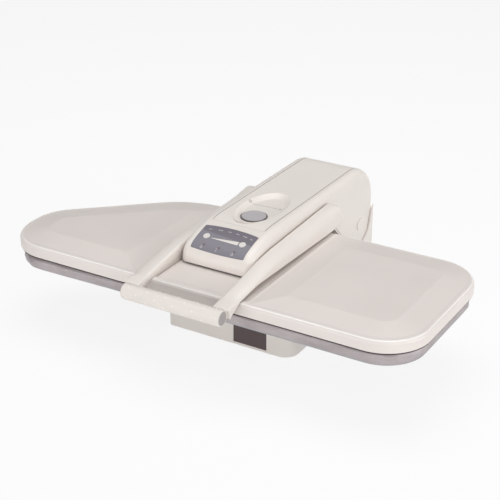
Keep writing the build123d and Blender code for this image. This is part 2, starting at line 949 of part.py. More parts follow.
with BuildPart() as hinge_bushes:
    for side in (-1, 1):
        start, end = sorted((side * bush_start, side * bush_end))
        add(tube(
            axle_radius + bush_wall,
            axle_radius + running_fit,
            start,
            end,
            hinge_y,
            hinge_z,
        ))

hinge_bushes.part.label = "hinge_bushes"
export_step(hinge_bushes.part, "parts/hinge_bushes.step")

with BuildPart() as shaft_bushes:
    for side in (-1, 1):
        start, end = sorted((side * bush_start, side * bush_end))
        add(tube(
            shaft_radius + shaft_bush_wall,
            shaft_radius + running_fit,
            start,
            end,
            pivot_y,
            pivot_z,
        ))

shaft_bushes.part.label = "shaft_bushes"
export_step(shaft_bushes.part, "parts/shaft_bushes.step")


# Head housing
control_lean = degrees(asin((crown_start - fascia_y) / roof_radius))
control_plane = Plane(
    origin=(0, fascia_y, crown_y_z(fascia_y)),
    x_dir=(1, 0, 0),
    z_dir=(0, -sin(radians(control_lean)), cos(radians(control_lean))),
)
fascia_bow_top = 4.5
fascia_bow_foot = 1.5
fascia_corner = 2.0
fascia_recess = 1.3
fascia_thickness = 1.0
bowl_lift = 3.0


def fascia_outline(margin):
    """The fascia seen square on: its upper and lower edges are bowed."""
    half = fascia_half + margin
    up = fascia_up + margin
    down = fascia_down + margin
    with BuildSketch() as outline:
        with BuildLine():
            ThreePointArc((-half, up), (0, up + fascia_bow_top), (half, up))
            Line((half, up), (half, -down))
            ThreePointArc((half, -down), (0, -down - fascia_bow_foot), (-half, -down))
            Line((-half, -down), (-half, up))
        make_face()
        fillet(outline.vertices(), radius=fascia_corner)
    return outline.sketch


def scoop(margin, drop):
    """The egg-shaped hollow around the steam button, as a solid."""
    floor = scoop_floor - drop
    slope = (scoop_half_width - scoop_floor_width) / scoop_depth
    stretch = (scoop_half_length - scoop_floor_length) / scoop_depth
    with BuildPart() as bowl:
        with BuildSketch(Plane.XY.offset(floor)):
            with Locations((0, scoop_y)):
                Ellipse(scoop_floor_width + margin, scoop_floor_length + margin)
        with BuildSketch(Plane.XY.offset(housing_top + bowl_lift)):
            with Locations((0, scoop_y)):
                Ellipse(
                    scoop_half_width + margin + bowl_lift * slope,
                    scoop_half_length + margin + bowl_lift * stretch,
                )
        loft()
    return bowl.part


def housing_block(inset, foot):
    """The housing or the hollow in it, with the upper side edges rounded."""
    profile = housing_cavity() if inset else housing_profile(0)
    half = housing_half - inset
    with BuildPart() as block:
        with BuildSketch(Plane.YZ.offset(-half)):
            add(profile)
        extrude(amount=2 * half)
        rims = [
            edge
            for face in block.faces().filter_by(Axis.X)
            for edge in face.edges()
            if edge.center().Z > foot
            or (abs(edge.center().Y - head_rear + inset) < 1 and edge.center().Z > rear_foot)
        ]
        fillet(rims, radius=housing_rim_round - inset)
    return block.part


def roof_band(depth, half, margin):
    """A layer of the roof as deep as asked, between the ends of the top panel."""
    with BuildPart() as layer:
        with BuildSketch(Plane.YZ.offset(-half)):
            add(skin_band(depth))
        extrude(amount=2 * half)
        with BuildSketch(Plane.XY.offset(housing_bottom)):
            with Locations((0, (panel_front + panel_rear) / 2)):
                Rectangle(2 * half, panel_rear - panel_front + 2 * margin)
        extrude(amount=housing_top, mode=Mode.INTERSECT)
    return layer.part


def nose_band(depth, margin):
    """A layer of the nose as deep as asked, inside the fascia's outline."""
    with BuildPart() as layer:
        with BuildSketch(Plane.YZ.offset(-housing_half)):
            add(skin_band(depth))
        extrude(amount=2 * housing_half)
        with BuildSketch(control_plane.offset(-housing_half / 2)):
            add(fascia_outline(margin))
        extrude(amount=housing_half, mode=Mode.INTERSECT)
    return layer.part


button_hole = button_radius + hole_clearance
bowl_wall = 1.5
panel_recess = skin + 0.1
cap_stub = 6.0
shaft_window = shaft_radius + 1.0
lens_y = -16.0
key_places = [(-key_x, 0), (key_x, 0)]
lens_places = [(-lens_pitch, lens_y), (0, lens_y), (lens_pitch, lens_y)]

with BuildPart() as housing_shell:
    add(housing_block(0, housing_bottom + 0.5))
    add(housing_block(housing_wall, housing_bottom - 2 * housing_wall), mode=Mode.SUBTRACT)
    add(roof_band(panel_recess, panel_half, groove), mode=Mode.SUBTRACT)
    add(nose_band(fascia_recess, clearance), mode=Mode.SUBTRACT)
    add(scoop(bowl_wall + hole_clearance, scoop_depth), mode=Mode.SUBTRACT)
    with BuildSketch(Plane.YZ.offset(-housing_half)):
        with Locations((pivot_y, pivot_z)):
            Circle(shaft_window)
        with Locations((hinge_y, hinge_z)):
            Circle(cap_stub + running_fit)
    extrude(amount=2 * housing_half, mode=Mode.SUBTRACT)
    with BuildSketch(control_plane.offset(-housing_half / 2)):
        with Locations(*key_places):
            Circle(key_radius + hole_clearance)
        with Locations(*lens_places):
            Circle(lens_radius + hole_clearance / 2)
    extrude(amount=housing_half, mode=Mode.SUBTRACT)

housing_shell.part.label = "housing_shell"
export_step(housing_shell.part, "parts/housing_shell.step")

# Grey top panel let into the roof, with the hollow for the steam button
with BuildPart() as top_panel:
    add(roof_band(skin, panel_half - groove, 0))
    add(scoop(bowl_wall, bowl_wall))
    with BuildSketch(Plane.XY.offset(housing_top)):
        with Locations((0, scoop_y)):
            Rectangle(4 * housing_half, 4 * scoop_half_length)
    extrude(amount=housing_top, mode=Mode.SUBTRACT)
    add(scoop(0, 0), mode=Mode.SUBTRACT)
    with BuildSketch(Plane.XY.offset(scoop_floor)):
        with Locations((0, button_y)):
            Circle(button_hole)
    extrude(amount=2 * scoop_depth, both=True, mode=Mode.SUBTRACT)

top_panel.part.label = "top_panel"
export_step(top_panel.part, "parts/top_panel.step")

# Dark ring round the steam button
ring_width = 1.4
ring_height = 1.0

with BuildPart() as button_ring:
    with BuildSketch(Plane.XY.offset(scoop_floor)):
        with Locations((0, button_y)):
            Circle(button_hole + ring_width)
            Circle(button_hole, mode=Mode.SUBTRACT)
    extrude(amount=ring_height)

button_ring.part.label = "button_ring"
export_step(button_ring.part, "parts/button_ring.step")

# Steam button with the flange that keeps it under the panel
button_rise = 2.5
button_edge = 1.2
flange_top = scoop_floor - bowl_wall - clearance

with BuildPart() as steam_button:
    with BuildSketch(Plane.XY.offset(button_foot)):
        with Locations((0, button_y)):
            Circle(button_radius)
    extrude(amount=scoop_floor + button_rise - button_foot)
    fillet(steam_button.faces().sort_by(Axis.Z)[-1].edges(), radius=button_edge)
    with BuildSketch(Plane.XY.offset(button_foot)):
        with Locations((0, button_y)):
            Circle(button_radius + ring_width)
    extrude(amount=flange_top - button_foot)

steam_button.part.label = "steam_button"
export_step(steam_button.part, "parts/steam_button.step")

# Steam switch and the return spring between it and the button
switch_half = 8.0
switch_chamfer = 1.0
spring_height = 3 * button_travel
switch_top = button_foot - spring_height
button_coil_radius = 7.0
button_wire = 1.5
button_turns = int(spring_height / button_wire)
button_groove = 0.6

with BuildPart() as steam_switch:
    with BuildSketch(Plane.XY.offset(frame_top)):
        with Locations((0, button_y)):
            Rectangle(2 * switch_half, 2 * switch_half)
    extrude(amount=switch_top - frame_top)
    chamfer(steam_switch.edges().filter_by(Axis.Z), length=switch_chamfer)

steam_switch.part.label = "steam_switch"
export_step(steam_switch.part, "parts/steam_switch.step")

with BuildPart() as button_spring:
    for turn in range(button_turns):
        with BuildSketch(Plane.XY.offset(switch_top + turn * button_wire)):
            with Locations((0, button_y)):
                Circle(button_coil_radius - button_groove)
                Circle(button_coil_radius - button_wire, mode=Mode.SUBTRACT)
        extrude(amount=button_wire)
        with BuildSketch(Plane.XY.offset(switch_top + turn * button_wire + button_groove / 2)):
            with Locations((0, button_y)):
                Circle(button_coil_radius)
                Circle(button_coil_radius - button_wire, mode=Mode.SUBTRACT)
        extrude(amount=button_wire - button_groove)

button_spring.part.label = "button_spring"
export_step(button_spring.part, "parts/button_spring.step")

# Control fascia, two round keys and three small lenses
with BuildPart() as control_fascia:
    add(nose_band(fascia_thickness, 0))
    with BuildSketch(control_plane.offset(-housing_half / 2)):
        with Locations(*key_places):
            Circle(key_radius + clearance)
        with Locations(*lens_places):
            Circle(lens_radius + clearance / 2)
    extrude(amount=housing_half, mode=Mode.SUBTRACT)

control_fascia.part.label = "control_fascia"
export_step(control_fascia.part, "parts/control_fascia.step")

key_foot = -3.0
key_head = 1.0
key_edge = 0.6


def round_key(x):
    """One key at its place on the fascia, with a flange under the housing's wall."""
    with BuildPart() as key:
        with BuildSketch(control_plane.offset(key_foot)):
            with Locations((x, 0)):
                Circle(key_radius)
        extrude(amount=key_head - key_foot)
        crown = key.faces().sort_by(Axis(control_plane.origin, control_plane.z_dir))[-1]
        fillet(crown.edges(), radius=key_edge)
    return key.part


with BuildPart() as temperature_down_key:
    add(round_key(-key_x))

temperature_down_key.part.label = "temperature_down_key"
export_step(temperature_down_key.part, "parts/temperature_down_key.step")

with BuildPart() as temperature_up_key:
    add(round_key(key_x))

temperature_up_key.part.label = "temperature_up_key"
export_step(temperature_up_key.part, "parts/temperature_up_key.step")

lens_foot = -5.0
lens_head = -0.6

with BuildPart() as indicator_lenses:
    with BuildSketch(control_plane.offset(lens_foot)):
        with Locations(*lens_places):
            Circle(lens_radius)
    extrude(amount=lens_head - lens_foot)

indicator_lenses.part.label = "indicator_lenses"
export_step(indicator_lenses.part, "parts/indicator_lenses.step")

# Control board behind the fascia: it stands on two posts and carries a switch under each key
board_depth = -9.0
board_sheet = 1.6
control_half = 42.0
control_reach = 17.0
post_x = 38.0
post_radius = 2.2
tact_radius = 3.0
press_travel_gap = 0.2

with BuildPart() as control_board:
    with BuildSketch(control_plane.offset(board_depth)):
        Rectangle(2 * control_half, 2 * control_reach)
    extrude(amount=board_sheet)
    with BuildSketch(control_plane.offset(board_depth)):
        with Locations(*key_places):
            Circle(tact_radius)
    extrude(amount=key_foot - key_travel - press_travel_gap - board_depth)
    with BuildSketch(control_plane.offset(board_depth)):
        with Locations((-post_x, 0), (post_x, 0)):
            Circle(post_radius)
    extrude(amount=-housing_wall - clearance - board_depth)

control_board.part.label = "control_board"
export_step(control_board.part, "parts/control_board.step")

# Water tank, steam pump and the tube between them
tank_front = -8.0
tank_rear = 60.0
tank_half = 30.0
tank_top = 171.0
tank_corner = 8.0
tank_edge = 3.0
pump_half = 18.0
pump_height = 16.0
tube_x = 15.0
tube_z = frame_top + 5.0
tube_radius = 2.5
tube_wall = 1.0

with BuildPart() as water_tank:
    with BuildSketch(Plane.XY.offset(frame_top)):
        with Locations((0, (tank_front + tank_rear) / 2)):
            RectangleRounded(2 * tank_half, tank_rear - tank_front, tank_corner)
    extrude(amount=tank_top - frame_top)
    fillet(water_tank.faces().sort_by(Axis.Z)[-1].edges(), radius=tank_edge)

water_tank.part.label = "water_tank"
export_step(water_tank.part, "parts/water_tank.step")

with BuildPart() as steam_pump:
    with BuildSketch(Plane.XY.offset(frame_top)):
        with Locations((0, (pump_front + pump_rear) / 2)):
            Rectangle(2 * pump_half, pump_rear - pump_front)
    extrude(amount=pump_height)
    fillet(steam_pump.faces().sort_by(Axis.Z)[-1].edges(), radius=tank_edge / 2)

steam_pump.part.label = "steam_pump"
export_step(steam_pump.part, "parts/steam_pump.step")

with BuildPart() as water_tube:
    with BuildSketch(Plane.XZ.offset(-pump_rear)):
        with Locations((tube_x, tube_z)):
            Circle(tube_radius)
            Circle(tube_radius - tube_wall, mode=Mode.SUBTRACT)
    extrude(amount=pump_rear - tank_front)

water_tube.part.label = "water_tube"
export_step(water_tube.part, "parts/water_tube.step")

# Steam pipe from the pump down to the chamber on the casting
with BuildPart() as steam_pipe:
    with BuildSketch(Plane.XY.offset(sole_top + lid_height)):
        with Locations((0, pipe_y)):
            Circle(pipe_radius)
            Circle(pipe_radius - tube_wall, mode=Mode.SUBTRACT)
    extrude(amount=frame_top - sole_top - lid_height)

steam_pipe.part.label = "steam_pipe"
export_step(steam_pipe.part, "parts/steam_pipe.step")

# Underside cover that closes the head behind the plate
underside_start = plate_rear + 3.5
underside_wall = 2.5
rib_inner = frame_half - frame_wall - clearance - underside_wall
rib_height = 3.5


def underside_corners(drop):
    """The belly and the slope of the head as a bent line, dropped away from the skin."""
    bend = slope_sum - drop * sqrt(2) - housing_bottom + drop
    end_y = hinge_y - (cheek_radius + drop) / sqrt(2)
    end_z = hinge_z - (cheek_radius + drop) / sqrt(2)
    return [
        (underside_start, housing_bottom - drop),
        (bend, housing_bottom - drop),
        (end_y, end_z),
    ]


def underside_layer(inner, outer, start, end):
    """A bent sheet under the head between two depths, from one X to another."""
    with BuildPart() as sheet:
        with BuildSketch(Plane.YZ.offset(start)):
            with BuildLine():
                Polyline(
                    *underside_corners(inner),
                    *reversed(underside_corners(outer)),
                    close=True,
                )
            make_face()
        extrude(amount=end - start)
    return sheet.part


with BuildPart() as housing_underside:
    add(underside_layer(
        gap_under_head,
        gap_under_head + underside_wall,
        -housing_half,
        housing_half,
    ))
    for side in (-1, 1):
        start, end = sorted((side * rib_inner, side * (rib_inner + underside_wall)))
        add(underside_layer(-rib_height, gap_under_head, start, end))

housing_underside.part.label = "housing_underside"
export_step(housing_underside.part, "parts/housing_underside.step")

# Caps over the ends of the hinge axle
cap_thickness = 1.6
seat_play = 0.1

with BuildPart() as axle_caps:
    for side in (-1, 1):
        face = side * housing_half
        inner = side * (housing_half - housing_wall)
        outer = side * (housing_half + cap_thickness)
        add(rod(cap_radius, min(face, outer), max(face, outer), hinge_y, hinge_z))
        add(rod(cap_stub, min(inner, face), max(inner, face), hinge_y, hinge_z))

axle_caps.part.label = "axle_caps"
export_step(axle_caps.part, "parts/axle_caps.step")

# Handle arms: they rise from the grip, pass beside the housing and turn on the shaft
cradle_play = 0.2
cradle_radius = grip_radius + cradle_play
cradle_start = -40
cradle_swing = 115
arm_bend_radius = 400.0
arm_rise = 17.2
arm_sink = 16.4
arm_tail = 14.0
arm_top = pivot_z + arm_rise
arm_foot = pivot_z - arm_sink
arm_rear = pivot_y + arm_tail
arm_rear_round = 14.0
arm_brow_z = 155.0
arm_knee_y = -105.0
arm_knee_z = 161.0
arm_wrist_y = -160.0
arm_wrist_z = 142.0
arm_wrist_radius = 120.0
arm_rest_y = -208.0
arm_rest_z = 136.4
arm_drop_y = -222.0
arm_drop_z = 129.0
shaft_end = 76.0


def handle_arm(side):
    """One arm of the handle, with a blind bore for the shaft."""
    start = arm_inner if side > 0 else -arm_outer
    with BuildPart() as arm:
        with BuildSketch(Plane.YZ.offset(start)):
            with BuildLine():
                cradle = CenterArc((grip_y, grip_z), cradle_radius, cradle_start, cradle_swing)
                FilletPolyline(
                    cradle @ 1,
                    (arm_knee_y, arm_knee_z),
                    (arm_rear, arm_top),
                    (arm_rear, arm_foot),
                    radius=[arm_bend_radius, arm_rear_round],
                )
                FilletPolyline(
                    (arm_rear, arm_foot),
                    (arm_wrist_y, arm_wrist_z),
                    (arm_rest_y, arm_rest_z),
                    (arm_drop_y, arm_drop_z),
                    cradle @ 0,
                    radius=[arm_wrist_radius, grip_radius, grip_radius],
                )
            make_face()
        extrude(amount=arm_outer - arm_inner)
        outside = arm.faces().sort_by(Axis.X)[-1 if side > 0 else 0]
        brow = [edge for edge in outside.edges() if edge.center().Z > arm_brow_z]
        inside = arm.faces().sort_by(Axis.X)[0 if side > 0 else -1]
        rims = [edge for edge in inside.edges() if edge.center().Y > grip_y + 2 * grip_radius]
        fillet(rims, radius=arm_round)
        fillet(brow, radius=arm_shoulder)
        inner, blind = sorted((side * arm_inner, side * shaft_end))
        add(rod(shaft_radius, inner, blind, pivot_y, pivot_z), mode=Mode.SUBTRACT)
    return arm.part


with BuildPart() as handle_arm_left:
    add(handle_arm(-1))

handle_arm_left.part.label = "handle_arm_left"
export_step(handle_arm_left.part, "parts/handle_arm_left.step")

with BuildPart() as handle_arm_right:
    add(handle_arm(1))

handle_arm_right.part.label = "handle_arm_right"
export_step(handle_arm_right.part, "parts/handle_arm_right.step")

# Handle shaft and the crank plates pressed onto it
with BuildPart() as handle_shaft:
    add(rod(shaft_radius, -shaft_end, shaft_end, pivot_y, pivot_z))

handle_shaft.part.label = "handle_shaft"
export_step(handle_shaft.part, "parts/handle_shaft.step")

crank_eye = 10.0
link_eye = 5.5

with BuildPart() as toggle_crank:
    for x in (-clevis_half, clevis_inner):
        with BuildSketch(Plane.YZ.offset(x)):
            with Locations((pivot_y, pivot_z)):
                Circle(crank_eye)
            with Locations((crank_y, crank_z)):
                Circle(link_eye)
            make_hull()
            with Locations((pivot_y, pivot_z)):
                Circle(shaft_radius, mode=Mode.SUBTRACT)
            with Locations((crank_y, crank_z)):
                Circle(link_pin_radius, mode=Mode.SUBTRACT)
        extrude(amount=clevis_half - clevis_inner)

toggle_crank.part.label = "toggle_crank"
export_step(toggle_crank.part, "parts/toggle_crank.step")

with BuildPart() as crank_pin:
    add(rod(link_pin_radius, -clevis_half, clevis_half, crank_y, crank_z))

crank_pin.part.label = "crank_pin"
export_step(crank_pin.part, "parts/crank_pin.step")

# Toggle link from the fixed pin to the crank
with BuildPart() as toggle_link:
    with BuildSketch(Plane.YZ.offset(-link_half)):
        with Locations((anchor_y, anchor_z), (eye_y, eye_z)):
            Circle(link_width / 2)
        make_hull()
        with Locations((anchor_y, anchor_z), (eye_y, eye_z)):
            Circle(link_eye)
        with Locations((anchor_y, anchor_z)):
            Circle(link_pin_radius + running_fit, mode=Mode.SUBTRACT)
        with Locations((eye_y, eye_z)):
            Circle(eye_bore, mode=Mode.SUBTRACT)
    extrude(amount=2 * link_half)

toggle_link.part.label = "toggle_link"
export_step(toggle_link.part, "parts/toggle_link.step")

# Grip: a sleeve on a solid bar, closed by a cap at each end
grip_edge = 1.0

with BuildPart() as grip_sleeve:
    add(tube(grip_radius, grip_bore + running_fit, -grip_half, grip_half, grip_y, grip_z))
    for face, depth in ((-grip_half, cap_depth), (grip_half, -cap_depth)):
        with BuildSketch(Plane.YZ.offset(face)):
            with Locations((grip_y, grip_z)):
                Circle(cap_radius + seat_play)
        extrude(amount=depth, mode=Mode.SUBTRACT)
    rims = grip_sleeve.edges().filter_by(GeomType.CIRCLE)
    fillet(rims.filter_by(lambda edge: edge.radius > grip_radius - seat_play), radius=grip_edge)

grip_sleeve.part.label = "grip_sleeve"
export_step(grip_sleeve.part, "parts/grip_sleeve.step")

with BuildPart() as grip_core:
    core_half = grip_half - cap_depth
    add(rod(grip_bore, -core_half, core_half, grip_y, grip_z))

grip_core.part.label = "grip_core"
export_step(grip_core.part, "parts/grip_core.step")

with BuildPart() as grip_caps:
    for start in (-grip_half, core_half):
        add(rod(cap_radius, start, start + cap_depth, grip_y, grip_z))

grip_caps.part.label = "grip_caps"
export_step(grip_caps.part, "parts/grip_caps.step")
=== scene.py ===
import json
import math

import bmesh
import bpy
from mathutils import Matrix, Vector
from mathutils.bvhtree import BVHTree
from mathutils.geometry import delaunay_2d_cdt
from mathutils.noise import noise as noise_at


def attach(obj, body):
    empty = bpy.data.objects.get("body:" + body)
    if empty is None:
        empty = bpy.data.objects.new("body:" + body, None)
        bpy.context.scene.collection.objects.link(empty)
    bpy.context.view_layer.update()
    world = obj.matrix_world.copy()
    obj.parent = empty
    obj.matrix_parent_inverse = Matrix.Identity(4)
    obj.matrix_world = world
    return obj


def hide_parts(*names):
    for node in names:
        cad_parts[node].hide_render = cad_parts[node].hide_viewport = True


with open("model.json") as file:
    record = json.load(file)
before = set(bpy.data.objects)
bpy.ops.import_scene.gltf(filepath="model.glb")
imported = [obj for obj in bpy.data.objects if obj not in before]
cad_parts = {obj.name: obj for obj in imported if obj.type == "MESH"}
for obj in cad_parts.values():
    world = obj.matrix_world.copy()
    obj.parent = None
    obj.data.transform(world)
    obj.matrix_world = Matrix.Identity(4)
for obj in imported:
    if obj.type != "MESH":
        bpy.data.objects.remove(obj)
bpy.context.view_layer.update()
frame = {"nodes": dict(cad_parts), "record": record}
nodes = frame["nodes"]

MM = 0.001
scene = bpy.context.scene
scene.view_settings.view_transform = "Standard"


# Colour and node helpers
def srgb(r, g, b):
    """An sRGB colour of 0 to 255 as linear values with alpha."""
    def linear(v):
        v = v / 255.0
        return v / 12.92 if v <= 0.04045 else ((v + 0.055) / 1.055) ** 2.4
    return (linear(r), linear(g), linear(b), 1.0)


def darker(colour, share):
    return tuple(c * share for c in colour[:3]) + (1.0,)


def new_material(name, rough, metallic=0.0):
    mat = bpy.data.materials.new(name)
    mat.use_nodes = True
    tree = mat.node_tree
    shader = tree.nodes["Principled BSDF"]
    shader.inputs["Roughness"].default_value = rough
    shader.inputs["Metallic"].default_value = metallic
    return mat, tree, shader


def add_node(tree, kind, sources=None, **values):
    """A node with its settings and input values, and with its inputs linked to their sources."""
    node = tree.nodes.new(kind)
    for key, value in values.items():
        if hasattr(node, key) and key not in node.inputs:
            setattr(node, key, value)
        else:
            node.inputs[key].default_value = value
    for key, source in (sources or {}).items():
        tree.links.new(source, node.inputs[key])
    return node


def maths(tree, operation, *terms):
    """A math node's result, where each term is a number or a node's output."""
    node = add_node(tree, "ShaderNodeMath", operation=operation)
    for place, term in zip(node.inputs, terms):
        if isinstance(term, float):
            place.default_value = term
        else:
            tree.links.new(term, place)
    return node.outputs["Value"]


def object_space(tree, stretch=(1, 1, 1)):
    """Positions in the object's own frame, stretched per axis."""
    coords = tree.nodes.new("ShaderNodeTexCoord")
    scaled = add_node(
        tree, "ShaderNodeMapping", {"Vector": coords.outputs["Object"]}, Scale=stretch
    )
    return scaled.outputs["Vector"]


def ramp_between(tree, factor, low, high, start=0.3, end=0.7):
    node = add_node(tree, "ShaderNodeValToRGB", {"Fac": factor})
    for stop, position, colour in zip(node.color_ramp.elements, (start, end), (low, high)):
        stop.position = position
        stop.color = colour
    return node.outputs["Color"]


def value_between(tree, factor, low, high):
    limits = {"To Min": low, "To Max": high}
    return add_node(tree, "ShaderNodeMapRange", {"Value": factor}, **limits).outputs["Result"]


def noise(tree, space, scale, detail, rough=0.5):
    node = add_node(
        tree, "ShaderNodeTexNoise", {"Vector": space}, Scale=scale, Detail=detail, Roughness=rough
    )
    return node.outputs["Fac"]


def dress(tree, shader, colour, rough, height, strength, distance):
    """Links a shader's colour, roughness and bump."""
    relief = add_node(
        tree, "ShaderNodeBump", {"Height": height}, Strength=strength, Distance=distance
    )
    tree.links.new(colour, shader.inputs["Base Color"])
    tree.links.new(rough, shader.inputs["Roughness"])
    tree.links.new(relief.outputs["Normal"], shader.inputs["Normal"])


# Noise scales, shares of the colour, and heights of the bump in metres
CLOUD_SCALE, CLOUD_SHARE = 9.0, 0.96
GLOSS_SCALE = 60.0
GRAIN_SCALE, GRAIN_HEIGHT = 900.0, 0.0004
LINE_SCALE, LINE_SHARE = 6.0, 0.82
LINE_STRENGTH, LINE_HEIGHT = 0.05, 0.0002
GLOSSIER, DULLER = 0.08, 0.12  # what the lines take from the roughness and add to it


def moulded(name, colour, rough, spread=0.05, depth=0.03):
    """Moulded plastic: faint clouds in the colour and the gloss, and a fine eroded grain."""
    mat, tree, shader = new_material(name, rough)
    space = object_space(tree)
    cloud = noise(tree, space, CLOUD_SCALE, 2.0)
    gloss = noise(tree, space, GLOSS_SCALE, 4.0)
    dress(
        tree, shader,
        ramp_between(tree, cloud, darker(colour, CLOUD_SHARE), colour),
        value_between(tree, gloss, rough - spread, rough + spread),
        noise(tree, space, GRAIN_SCALE, 2.0), depth, GRAIN_HEIGHT,
    )
    return mat


def brushed(name, colour, rough, stretch=(4, 400, 400)):
    """Rolled or ground metal with fine lines one way."""
    mat, tree, shader = new_material(name, rough, metallic=1.0)
    lines = noise(tree, object_space(tree, stretch), LINE_SCALE, 5.0, 0.6)
    dress(
        tree, shader,
        ramp_between(tree, lines, darker(colour, LINE_SHARE), colour),
        value_between(tree, lines, rough - GLOSSIER, rough + DULLER),
        lines, LINE_STRENGTH, LINE_HEIGHT,
    )
    return mat


THREAD_SCALE, THREAD_WAVER = 420.0, 0.6
CREASE_SHARE = 6.0  # of a crease's height to a thread's
CLOTH_STRENGTH, CLOTH_HEIGHT = 0.35, 0.0003


def board_cloth(name):
    """Silver cloth: a fine weave with small creases, and lighter and darker patches in the colour
    that are painted sheen and shade of soft wrinkles.
    """
    mat, tree, shader = new_material(name, 0.42, metallic=0.32)
    space = object_space(tree)
    # Lighter and darker patches in the colour: painted sheen and shade of the cloth's soft
    # wrinkles
    wrinkle_sheen_patches = noise(tree, object_space(tree, (1.0, 1.0, 2.5)), 15.0, 4.0, 0.6)
    creases = noise(tree, object_space(tree, (1.0, 1.0, 0.4)), 95.0, 3.0, 0.6)
    warp, weft = (
        add_node(
            tree, "ShaderNodeTexWave", {"Vector": space},
            bands_direction=direction, Scale=THREAD_SCALE, Distortion=THREAD_WAVER,
        ).outputs["Fac"]
        for direction in "XY"
    )
    weave = maths(tree, "ADD", warp, weft)
    dress(
        tree, shader,
        ramp_between(tree, wrinkle_sheen_patches, srgb(156, 146, 147), srgb(190, 182, 184), 0.25, 0.75),
        value_between(tree, noise(tree, space, 70.0, 3.0), 0.34, 0.56),
        maths(tree, "MULTIPLY_ADD", creases, CREASE_SHARE, weave), CLOTH_STRENGTH, CLOTH_HEIGHT,
    )
    return mat


MIX_A, MIX_B, MIX_RESULT = 6, 7, 2  # the colour sockets of a mix node


def second_tone(mat, tone, base, slope, level, soft):
    """Turns the base tone into another behind a slanted line, y + slope * x = level in metres."""
    tree = mat.node_tree
    shader = tree.nodes["Principled BSDF"]
    first = shader.inputs["Base Color"].links[0].from_socket
    place = add_node(tree, "ShaderNodeSeparateXYZ", {"Vector": object_space(tree)}).outputs
    lean = maths(tree, "MULTIPLY_ADD", place["X"], slope, place["Y"])
    limits = {"From Min": level - soft, "From Max": level + soft}
    edge = add_node(tree, "ShaderNodeMapRange", {"Value": lean}, **limits).outputs["Result"]
    mix = add_node(
        tree, "ShaderNodeMix", {0: edge, MIX_A: first}, data_type="RGBA", blend_type="MULTIPLY"
    )
    mix.inputs[MIX_B].default_value = tuple(t / b for t, b in zip(tone[:3], base[:3])) + (1.0,)
    tree.links.new(mix.outputs[MIX_RESULT], shader.inputs["Base Color"])


# Materials of the CAD nodes, by material slot
FASCIA_TONE = srgb(131, 128, 137)
FASCIA_DARK = srgb(115, 110, 120)
paint = {
    "white_plastic": moulded("white moulding", srgb(233, 226, 220), 0.34, depth=0.02),
    "panel_grey": moulded("panel grey", srgb(236, 229, 223), 0.4),
    "fascia_grey": moulded("fascia grey", FASCIA_TONE, 0.46, depth=0.05),
    "button_grey": moulded("button grey", srgb(190, 186, 189), 0.36),
    "dark_trim": moulded("dark trim", srgb(98, 90, 92), 0.5),
    "key_white": moulded("key white", srgb(222, 217, 213), 0.34),
    "lens": moulded("lens", srgb(118, 104, 108), 0.3),
    "grip_white": moulded("grip white", srgb(229, 222, 216), 0.5, depth=0.08),
    "cap_grey": moulded("cap grey", srgb(168, 162, 162), 0.5),
    "dark_plate": moulded("dark plate", srgb(78, 62, 63), 0.42),
    "black_plastic": moulded("black plastic", srgb(34, 33, 34), 0.55),
    "rubber": moulded("rubber", srgb(28, 28, 28), 0.75, depth=0.1),
    "frame_steel": brushed("frame steel", srgb(170, 171, 173), 0.38),
    "bright_steel": brushed("bright steel", srgb(205, 206, 208), 0.25),
    "bush_brass": brushed("bush brass", srgb(190, 150, 84), 0.3),
    "sole_metal": brushed("sole metal", srgb(206, 207, 210), 0.28, stretch=(3, 120, 120)),
    "circuit_board": moulded("circuit board", srgb(30, 84, 48), 0.45),
    "tank_plastic": moulded("tank plastic", srgb(205, 218, 228), 0.3),
    "pad_foam": moulded("pad foam", srgb(225, 214, 186), 0.9, depth=0.5),
}
second_tone(paint["fascia_grey"], FASCIA_DARK, FASCIA_TONE, 0.105, -0.105, 0.0004)
# The cover gets a darker copy of the white moulding: painted shade, to tone down how bright its
# tops come out under the lamps
cover_white_shaded = moulded("cover moulding shaded", srgb(227, 219, 214), 0.36, depth=0.02)

for entry in frame["record"]["subparts"]:
    finish = paint.get(entry["material_slot"])
    if entry["node"] == "plate_cover":
        finish = cover_white_shaded
    if finish:
        for place in nodes[entry["node"]].material_slots:
            place.material = finish


# Helpers for objects, and for pieces built from points in millimetres in the part's own frame
def add_object(name, data):
    obj = bpy.data.objects.new(name, data)
    scene.collection.objects.link(obj)
    return obj


def make_piece(name, points, faces, body, finish, smooth=True):
    """A mesh object from points in mm, riding on a body."""
    mesh = bpy.data.meshes.new(name)
    mesh.from_pydata([Vector(p) * MM for p in points], [], faces)
    mesh.update()
    work = bmesh.new()
    work.from_mesh(mesh)
    bmesh.ops.remove_doubles(work, verts=work.verts, dist=1e-6)
    bmesh.ops.recalc_face_normals(work, faces=work.faces)
    work.to_mesh(mesh)
    work.free()
    if smooth:
        mesh.shade_smooth()
    piece = add_object(name, mesh)
    mesh.materials.append(finish)
    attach(piece, body)
    return piece


def unit(angle):
    return Vector((math.cos(angle), math.sin(angle)))


def full_turn(count):
    """Evenly spread angles all the way round."""
    return [math.tau * k / count for k in range(count)]


def soft_step(low, high, value):
    """From 0 at low to 1 at high, with a soft start and end."""
    t = min(1.0, max(0.0, (value - low) / (high - low)))
    return t * t * (3 - 2 * t)


def between(a, b, share):
    return a * (1 - share) + b * share


